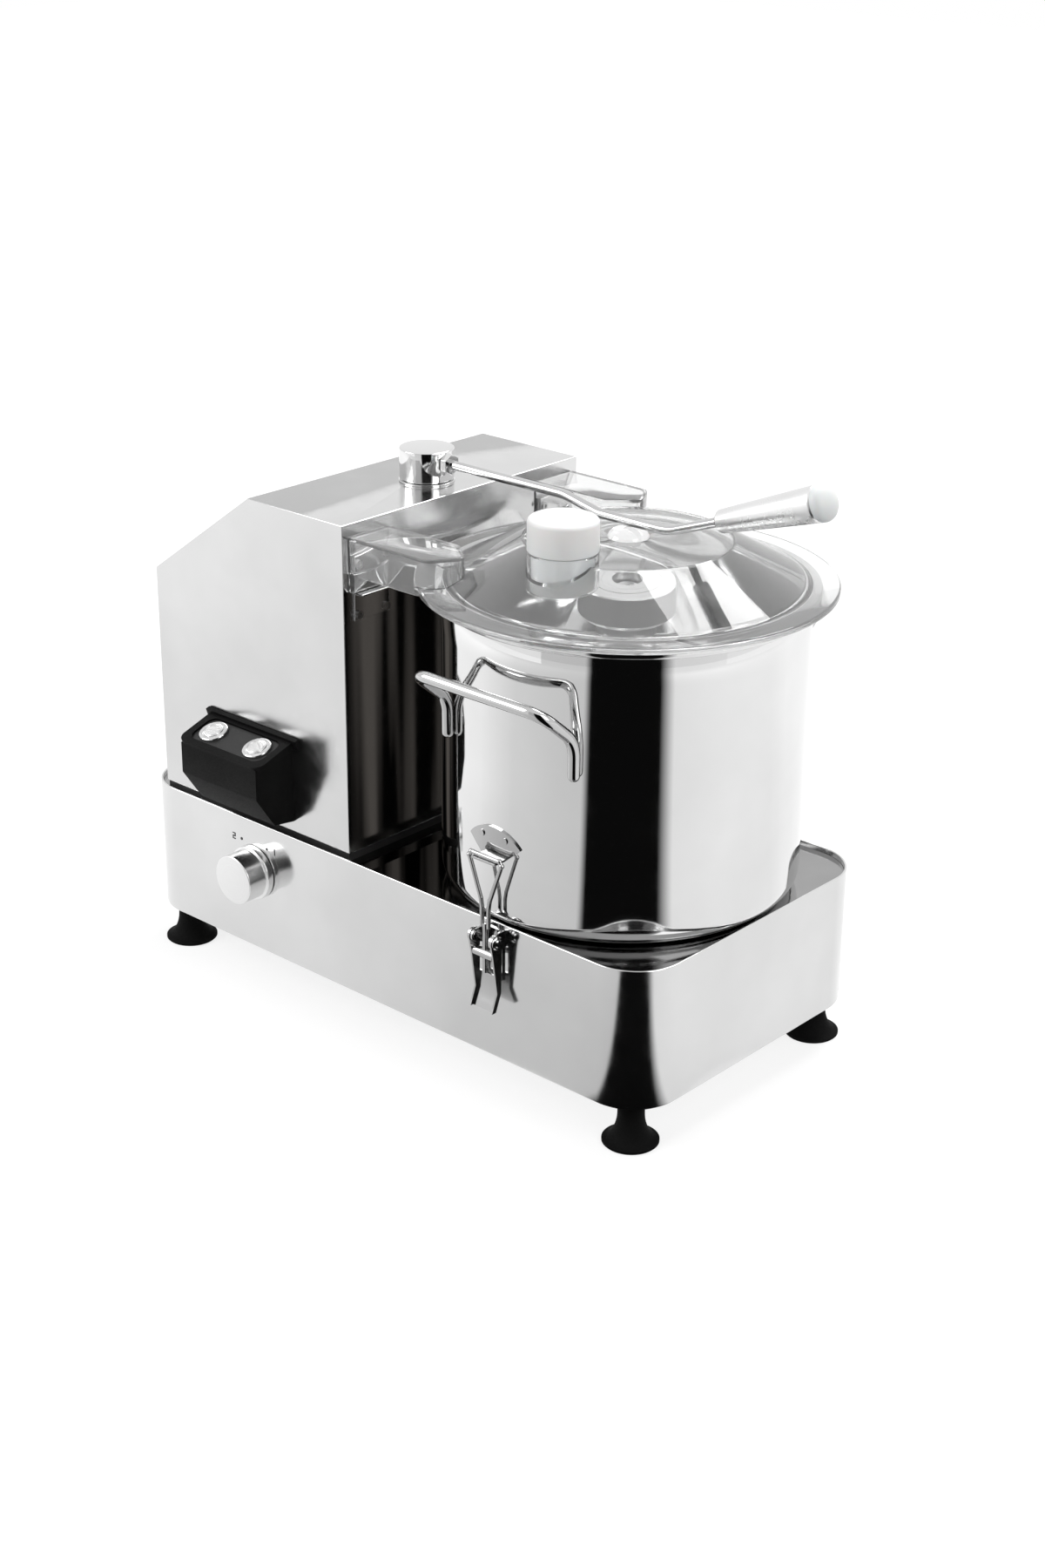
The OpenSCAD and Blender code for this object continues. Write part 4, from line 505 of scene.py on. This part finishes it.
def round_loop(length, width, radius, steps):
    """Points and outward directions round a rectangle with round corners."""
    out = []
    for k, (cx, cy) in enumerate(((1, 1), (-1, 1), (-1, -1), (1, -1))):
        c = Vector((cx * (length / 2 - radius), cy * (width / 2 - radius)))
        for i in range(steps + 1):
            a = math.pi / 2 * (k + i / steps)
            d = Vector((math.cos(a), math.sin(a)))
            out.append((c + d * radius, d))
    return out


def around(bm, loop, section):
    """Sweeps a closed section of (inset, height) round a loop."""
    rings = [[bm.verts.new((p.x - d.x * q[0], p.y - d.y * q[0], q[1])) for q in section] for p, d in loop]
    n = len(section)
    for a, b in zip(rings, rings[1:] + rings[:1]):
        for k in range(n):
            bm.faces.new([a[k], a[(k + 1) % n], b[(k + 1) % n], b[k]])


def bowl_foot(radius, order):
    """The bend from the bowl's floor to its wall, at a radius of its own."""
    turns = (math.pi / 2 * k / 12 for k in order)
    return [(BOWL_R - 15 + radius * math.sin(t), DECK + 15 - radius * math.cos(t)) for t in turns]


# Bowl: a thin drawn wall with a wide foot radius, a centre tube and a rolled rim.
BEAD = 3.3
BEAD_AT = BOWL_R - WALL + BEAD - 0.4
TUBE_TOP = DECK + 168
WALL_STEPS = (60, 120, 180)
inside = [(15.3, DECK + WALL), (15.3, TUBE_TOP), (16.5, TUBE_TOP), (16.5, DECK + 3)]
inside += [(18.5, DECK + WALL), (BOWL_R - 15, DECK + WALL)]
inside += bowl_foot(13.8, range(13))
inside += [(BOWL_R - WALL, DECK + h) for h in WALL_STEPS] + [(BOWL_R - WALL, RIM - 6.6)]
turns = (math.pi * (1.15 - 1.95 * k / 20) for k in range(21))
bead = [(BEAD_AT + BEAD * math.cos(t), RIM - BEAD + BEAD * math.sin(t)) for t in turns]
outside = [(BOWL_R, RIM - 7.2)] + [(BOWL_R, DECK + h) for h in reversed(WALL_STEPS)]
outside += bowl_foot(15, range(12, -1, -1)) + [(15.3, DECK)]
bm = bmesh.new()
lathe(bm, inside + bead + outside, at(*BOWL), 256)
shell = piece("bowl_shell", bm, "machine", polished, "bowl", sharp=50)
# Inward faces above the foot get the lighter copy of the steel: painted light.
shell.data.materials.append(polished_painted_lighter)
for face in shell.data.polygons:
    inward = face.normal.dot(face.center - spot(*BOWL, face.center.z / MM)) < 0
    if inward and face.center.z > (DECK + 20) * MM:
        face.material_index = 1

# Handles: one bent rod each, its two ends upright against the wall.
half, foot_y, low, knee, grip_y, grip_z = 53.8, 112.8, 249.0, 272.0, 143.0, 297.0
rod = [(-half, -foot_y, low), (-half, -foot_y, knee), (-half, -grip_y, grip_z)]
rod += [(-x, y, z) for x, y, z in reversed(rod)]
bm = bmesh.new()
for side in (1, -1):
    path = [(BOWL[0] + x, side * y, z) for x, y, z in rod]
    tube(bm, fillet(path, [0, 22, 12, 12, 22, 0], 8, closed=False), 4.0, 24)
piece("bowl_grips", bm, "machine", rod_steel, "bowl_handles", sharp=60)

# Base tray: bent sheet with a rounded top edge and a folded floor ledge.
TRAY_LOW, TRAY_TOP, SHEET, LEDGE = 32, 132, 1.5, 9
section = [(0, TRAY_LOW), (0, TRAY_TOP), (SHEET, TRAY_TOP), (SHEET, TRAY_LOW + SHEET)]
section += [(LEDGE, TRAY_LOW + SHEET), (LEDGE, TRAY_LOW)]
bm = bmesh.new()
around(bm, round_loop(480, 241.5, 36, 32), fillet(section, [1.4, 0.7, 0.7, 1.0, 0.5, 0.5], 5))
piece("tray_shell", bm, "machine", tray_steel, "base_shell", sharp=50)

# Feet: moulded rubber, flared over a thin rim.
FOOT_X, FOOT_Y = 216.4, 99.5
turns = (math.pi / 2 * k / 14 for k in range(1, 15))
foot = [(0, 0), (18.2, 0), (19, 0.8), (19, 2.3)]
foot += [(19.6 - 10.6 * math.sin(t), 2.5 + 19 - 19 * math.cos(t)) for t in turns]
foot += [(9, 30.5), (8.5, 32), (0, 32)]
bm = bmesh.new()
for sx in (-1, 1):
    for sy in (-1, 1):
        lathe(bm, foot, at(sx * FOOT_X, sy * FOOT_Y), 64, closed=False)
piece("rubber_feet", bm, "machine", rubber, "feet", sharp=40)

# Lid: clear skin with dome, chute and side arms as one moulding.
skin = [(67.5, 366), (119.3, 339), (137.6, 339), (137.6, 334.6), (118.5, 334.6)]
skin += [(118.5, 326), (115.5, 326), (115.5, 338), (66.9, 363)]
skin = fillet(skin, [6, 5, 1.4, 1.0, 1.5, 0.8, 0.8, 4, 6], 5)
dome = [(14, 366), (13, 368.4), (10.4, 370.6), (6.5, 372.1), (2.5, 372.7), (0, 372.7)]
bm = bmesh.new()
lathe(bm, [(0, 363)] + skin[::-1] + dome, at(*BOWL), 192, closed=False)
lid = solid("lid_moulding", bm, lid_clear)


def upright(x, y, h):
    return Vector((x, y, h))


def arm_shape(side, inset, tail):
    """The outline of a side arm, drawn in by inset, its end run on by tail."""
    end, near, far = -24.5 - tail, -71.5 - inset, -110.5 + inset
    pts = [(end, far), (46 - inset / 2, far), (59 - inset, -88.4), (38 - inset / 2, near), (end, near)]
    end_r = 0 if tail else 1.5
    pts = fillet(pts, [end_r, 9, 4, 5, end_r], 6)
    return [(p[0], p[1] * side) for p in pts]


# Side arms: a hollow block each, cut to the lid's cone and rim, with a hook on two webs at its end.
HOOK_OUT, HOOK_IN, HOOK_LOW = -24.5, -21.5, 321
BELOW_LID = [(0, 300), (137, 300), (137, 334.7), (119, 334.7), (119, 336.3), (67, 362.9), (0, 362.9)]
WEB = [(HOOK_OUT, 334), (HOOK_OUT, HOOK_LOW), (HOOK_IN, HOOK_LOW), (-8.5, 333), (-8.5, 334)]
for side in (1, -1):
    bm = bmesh.new()
    prism(bm, arm_shape(side, 0, 0), upright, 333, 358.7)
    arm = solid("arm_block", bm, lid_clear, bevel=1.0)
    bm = bmesh.new()
    prism(bm, arm_shape(side, 3, 4), upright, 330, 355.7)
    hollow = solid("arm_hollow", bm)
    bm = bmesh.new()
    lathe(bm, BELOW_LID, at(*BOWL), 192, closed=False)
    cut_out(arm, hollow, solid("arm_under", bm))
    far, near = -110.3 * side, -71.7 * side
    bm = bmesh.new()
    prism(bm, [(HOOK_OUT, far), (HOOK_IN, far), (HOOK_IN, near), (HOOK_OUT, near)], upright, HOOK_LOW, 334)
    hook = solid("arm_hook", bm, lid_clear, bevel=0.6)
    bm = bmesh.new()
    for y in (-110.3, -74.5):
        prism(bm, WEB, lambda x, z, h: Vector((x, h * side, z)), y, y + 2.8)
    webs = solid("arm_webs", bm, lid_clear, bevel=0.4)
    join_on(lid, arm, hook, webs)

# Chute: a tube wall on the lid, round a bore through it.
bm = bmesh.new()
lathe(bm, [(20.9, 344.5), (22.8, 344.5), (22.8, 370.3), (22.1, 371), (20.9, 371)], at(*CHUTE), 96)
tube_wall = solid("chute_wall", bm, lid_clear)
bm = bmesh.new()
lathe(bm, [(0, 340), (21.6, 340), (21.6, 375), (0, 375)], at(*CHUTE), 96, closed=False)
cut_out(lid, solid("chute_bore", bm))
join_on(lid, tube_wall)
dress(lid, "machine", "lid")

# Pusher: a thin cup with a solid round head.
CUP_LOW, HEAD_LOW, HEAD_TOP = 344.5, 371.3, 392.8
cup = [(0, HEAD_LOW), (17.5, HEAD_LOW), (17.5, CUP_LOW), (20, CUP_LOW), (20, HEAD_LOW)]
cup += [(22.8, HEAD_LOW), (22.8, HEAD_TOP), (0, HEAD_TOP)]
bm = bmesh.new()
lathe(bm, fillet(cup, [0, 1, 0.5, 0.8, 0.6, 0.8, 3.0, 0], 6), at(*CHUTE), 96, closed=False)
piece("pusher_cup", bm, "pusher_body", white, "pusher", sharp=45)

# Arm: hub, rod, handle and end cap.
hub = [(0, 369), (17.4, 369), (17.4, 369.8), (19, 369.8), (19, 391), (0, 391)]
bm = bmesh.new()
lathe(bm, fillet(hub, [0, 0.2, 0.2, 0.5, 0.9, 0], 5), at(*ARM), 128, closed=False)
piece("hub_drum", bm, "arm", polished, "arm_hub", sharp=45)

ROD_Z, BEND_Z = 382.7, 376.2
rise = math.radians(20)
run = Vector((math.cos(rise), 0, math.sin(rise)))
pivot = Vector((*ARM, 0))
start = pivot + Vector((213, 0, BEND_Z))
path = [pivot + Vector((12, 0, ROD_Z)), pivot + Vector((126, 0, ROD_Z))]
path += [pivot + Vector((156, 0, BEND_Z)), start, start + run * 60]
bm = bmesh.new()
tube(bm, fillet(path, [0, 30, 30, 34, 0], 10, closed=False), 3.2, 32, round_ends=False)
piece("arm_bar", bm, "arm", rod_steel, "arm_rod", sharp=60)

along = Matrix.Translation(start + run * 44) @ Matrix.Rotation(math.radians(70), 4, "Y")
grip = [(0, 0), (6.4, 0), (7.7, 1.6), (11.8, 77.6), (11.2, 79), (0, 79)]
bm = bmesh.new()
lathe(bm, fillet(grip, [0, 0.6, 1.2, 0.5, 0.4, 0], 5), along, 96, closed=False)
piece("grip_sleeve", bm, "arm", grip_steel, "arm_grip", sharp=45)

CAP_R, CAP_EDGE = 11.8, 81.4
turns = (math.pi / 2 * k / 10 for k in range(1, 10))
cap = [(0, 79.0), (11.0, 79.0), (CAP_R, 79.5), (CAP_R, CAP_EDGE)]
cap += [(CAP_R * math.cos(t), CAP_EDGE + 6.4 * math.sin(t)) for t in turns] + [(0, 87.8)]
bm = bmesh.new()
lathe(bm, cap, along, 96, closed=False)
piece("grip_cap", bm, "arm", white, "arm_cap", sharp=45)

# Speed knob: turned metal with a thin skirt.
knob = [(0, 0.6), (20, 0.6), (20, 5.5), (18, 6.1), (18, 21.5), (0, 21.5)]
facing = at(KNOB_X, -120.75, KNOB_Z, Matrix.Rotation(math.radians(90), 4, "X"))
bm = bmesh.new()
lathe(bm, fillet(knob, [0, 0.5, 0.8, 0.3, 0.9, 0], 4), facing, 96, closed=False)
piece("knob_turning", bm, "knob", knob_metal, "speed_knob", sharp=40)

# Rounded edges of the sheet and moulded pieces: the node, how far, and its shortest rounded edge.
for name, width, shortest in (
    ("motor_tower", 1.1, 20),
    ("control_box", 1.3, 4),
    ("lid_rests", 0.5, 5),
    ("lid_sensors", 0.6, 5),
    ("latch_brackets", 0.35, 3),
    ("lever_front", 0.4, 3),
    ("lever_rear", 0.4, 3),
    ("strike_plates", 0.35, 1),
    ("button_bezels", 0.5, 0),
    ("start_button", 0.4, 0),
    ("stop_button", 0.4, 0),
    ("arm_nut", 0.5, 0),
    ("arm_washer", 0.25, 0),
    ("blade_carrier", 0.7, 0),
    ("cable_gland", 0.5, 0),
):
    softened(name, width, shortest)


# Studio
def card(name, points, finish, camera=False):
    """A flat sheet that isn't part of the object. Without camera it is seen in reflections only."""
    mesh = bpy.data.meshes.new(name)
    mesh.from_pydata(points, [], [tuple(range(len(points)))])
    o = bpy.data.objects.new(name, mesh)
    bpy.context.collection.objects.link(o)
    o.data.materials.append(finish)
    if not camera:
        o.visible_camera = False
        o.visible_diffuse = False
        o.visible_shadow = False
        o.visible_transmission = False
    return o


def sight(nt):
    """1 for rays that should see the white background, 0 for light that falls on the object."""
    path = node(nt, "ShaderNodeLightPath")
    seen = maths(nt, "MAXIMUM", path.outputs["Is Camera Ray"], path.outputs["Is Glossy Ray"])
    return maths(nt, "MAXIMUM", seen, path.outputs["Is Transmission Ray"])


# The floor is a little darker near the object than far from it, in metres from the origin.
floor_mat, nt, shader = new_material(
    "studio_floor", Base_Color=(0.3, 0.3, 0.3, 1), Roughness=0.9, Emission_Color=(1, 1, 1, 1)
)
shader.inputs["Specular IOR Level"].default_value = 0.0
away = vectors(nt, "LENGTH", coords(nt)).outputs["Value"]
paler = spread(nt, away, 0.78, 1.0, 0.8, 1.9)
nt.links.new(maths(nt, "MULTIPLY", sight(nt), paler), shader.inputs["Emission Strength"])
S = 6.0
card("studio_floor", [(-S, -S, 0), (S, -S, 0), (S, S, 0), (-S, S, 0)], floor_mat, camera=True)

world = bpy.data.worlds.new("studio")
bpy.context.scene.world = world
world.use_nodes = True
nt = world.node_tree
back = nt.nodes["Background"]
back.inputs["Color"].default_value = (1, 1, 1, 1)
level = node(nt, "ShaderNodeMapRange", {"Value": sight(nt), "To Min": 0.5, "To Max": 1.0})
nt.links.new(level.outputs[0], back.inputs["Strength"])


def flag_material(name, stops, apex):
    """A black card that holds back more or less light by the direction from apex.

    stops are (degrees, share held back), from -180 to 90 degrees.
    """
    m = bpy.data.materials.new(name)
    m.use_nodes = True
    nt = m.node_tree
    nt.nodes.clear()
    tex = node(nt, "ShaderNodeTexCoord")
    moved = vectors(nt, "SUBTRACT", tex.outputs["Object"], spot(*apex, 0)).outputs[0]
    axes = node(nt, "ShaderNodeSeparateXYZ", {0: moved})
    turned = maths(nt, "ARCTAN2", axes.outputs["Y"], axes.outputs["X"])
    share = spread(nt, turned, 0.0, 1.0, -math.pi, math.pi / 2)
    ramp = node(nt, "ShaderNodeValToRGB", {"Fac": share})
    e = ramp.color_ramp.elements
    while len(e) < len(stops):
        e.new(0.5)
    for k, (deg, held) in enumerate(stops):
        e[k].position = (deg + 180) / 270
        e[k].color = (held, held, held, 1)
    through = node(nt, "ShaderNodeBsdfTransparent")
    dark = node(nt, "ShaderNodeEmission", {"Color": (0.004, 0.004, 0.004, 1)})
    mix = node(nt, "ShaderNodeMixShader", {0: ramp.outputs[0], 1: through.outputs[0], 2: dark.outputs[0]})
    node(nt, "ShaderNodeOutputMaterial", {0: mix.outputs[0]})
    return m


def round_bowl(r, deg, z):
    """A place at a distance from the bowl's axis, in a direction in degrees."""
    a = math.radians(deg)
    return spot(BOWL[0] + r * math.cos(a), BOWL[1] + r * math.sin(a), z)


# Dark cards for the mirror steel to reflect: a low sheet round the bowl, and a far wall of flat panels.
FLAG_STOPS = [(-165, 0.0), (-142, 0.05), (-116, 0.27), (-73, 0.35), (-69.5, 1.0)]
FLAG_STOPS += [(-30, 1.0), (-22, 0.14), (10, 0.08), (45, 0.06), (60, 0.0)]
FLAG_NEAR, FLAG_FAR = 150, 2600
front_flag = flag_material("studio_flag_front", FLAG_STOPS, BOWL)
ring = [round_bowl(FLAG_NEAR, deg, 1.0) for deg in range(-170, 66, 5)]
ring += [round_bowl(FLAG_FAR, deg, 1.0) for deg in range(65, -171, -5)]
card("flag_table", ring, front_flag)
tall = Vector((0, 0, 2.6))
for k, deg in enumerate(range(-100, 10, 10)):
    p = round_bowl(FLAG_FAR, deg, 0)
    q = round_bowl(FLAG_FAR, deg + 10, 0)
    card("flag_wall_%d" % k, [p, q, q + tall, p + tall], front_flag)


def painted_gap_reflection():
    """A painted reflection: dark, with soft upright streaks that stand in for the bowl's reflection."""
    m = bpy.data.materials.new("painted_bowl_reflection")
    m.use_nodes = True
    nt = m.node_tree
    nt.nodes.clear()
    streaks = noise(nt, coords(nt, (1, 26, 0.8)), 1.6, 2.0, 0.5)
    ramp = node(nt, "ShaderNodeValToRGB", {"Fac": streaks})
    e = ramp.color_ramp.elements
    e[0].position, e[0].color = 0.50, (0.001, 0.001, 0.001, 1)
    e[1].position, e[1].color = 0.66, (0.09, 0.082, 0.075, 1)
    dark = node(nt, "ShaderNodeEmission", {"Color": ramp.outputs[0]})
    node(nt, "ShaderNodeOutputMaterial", {0: dark.outputs[0]})
    return m


# A dark card between the tower and the bowl, inside the machine's outline, seen in reflections only. It
# darkens the tower's right face with painted shade, its streaks a painted reflection of the bowl, and
# reflections in the bowl show it too. It is neither floor nor backdrop.
GAP_X, GAP_Y, GAP_LOW, GAP_HIGH = -14, 112, 134, 322
corners = ((-GAP_Y, GAP_LOW), (GAP_Y, GAP_LOW), (GAP_Y, GAP_HIGH), (-GAP_Y, GAP_HIGH))
card("painted_reflection_card", [spot(GAP_X, y, z) for y, z in corners], painted_gap_reflection())


def lamp(name, at, to, size, power):
    data = bpy.data.lights.new(name, "AREA")
    data.shape = "RECTANGLE"
    data.size, data.size_y = size
    data.energy = power
    o = bpy.data.objects.new(name, data)
    bpy.context.collection.objects.link(o)
    o.location = at
    o.rotation_euler = (Vector(to) - Vector(at)).to_track_quat("-Z", "Y").to_euler()
    return o


lamp("overhead", (0.1, 0.8, 1.5), (0.05, 0, 0.3), (0.9, 0.7), 15)
lamp("key", (-1.3, -1.5, 1.3), (0, 0, 0.2), (1.2, 1.2), 22)
lamp("fill", (1.9, -0.2, 1.3), (0, 0, 0.2), (1.0, 1.4), 12)

# Camera: its focal length and the photograph's height in pixels give the lens.
SENSOR = 36.0
FOCAL_PIXELS, PHOTO_PIXELS = 2781.5, 1800.0
data = bpy.data.cameras.new("camera")
data.sensor_width = SENSOR
data.lens = FOCAL_PIXELS / PHOTO_PIXELS * SENSOR
camera = bpy.data.objects.new("camera", data)
bpy.context.collection.objects.link(camera)
right = Vector((0.741504, 0.670904, 0.007726))
up = Vector((-0.269605, 0.287391, 0.919086))
back_axis = Vector((0.614398, -0.683590, 0.393980))
turn = Matrix((right, up, back_axis)).transposed().to_4x4()
camera.matrix_world = Matrix.Translation(spot(1069.728, -1156.678, 832.810)) @ turn
bpy.context.scene.camera = camera
bpy.context.scene.view_settings.view_transform = "Standard"
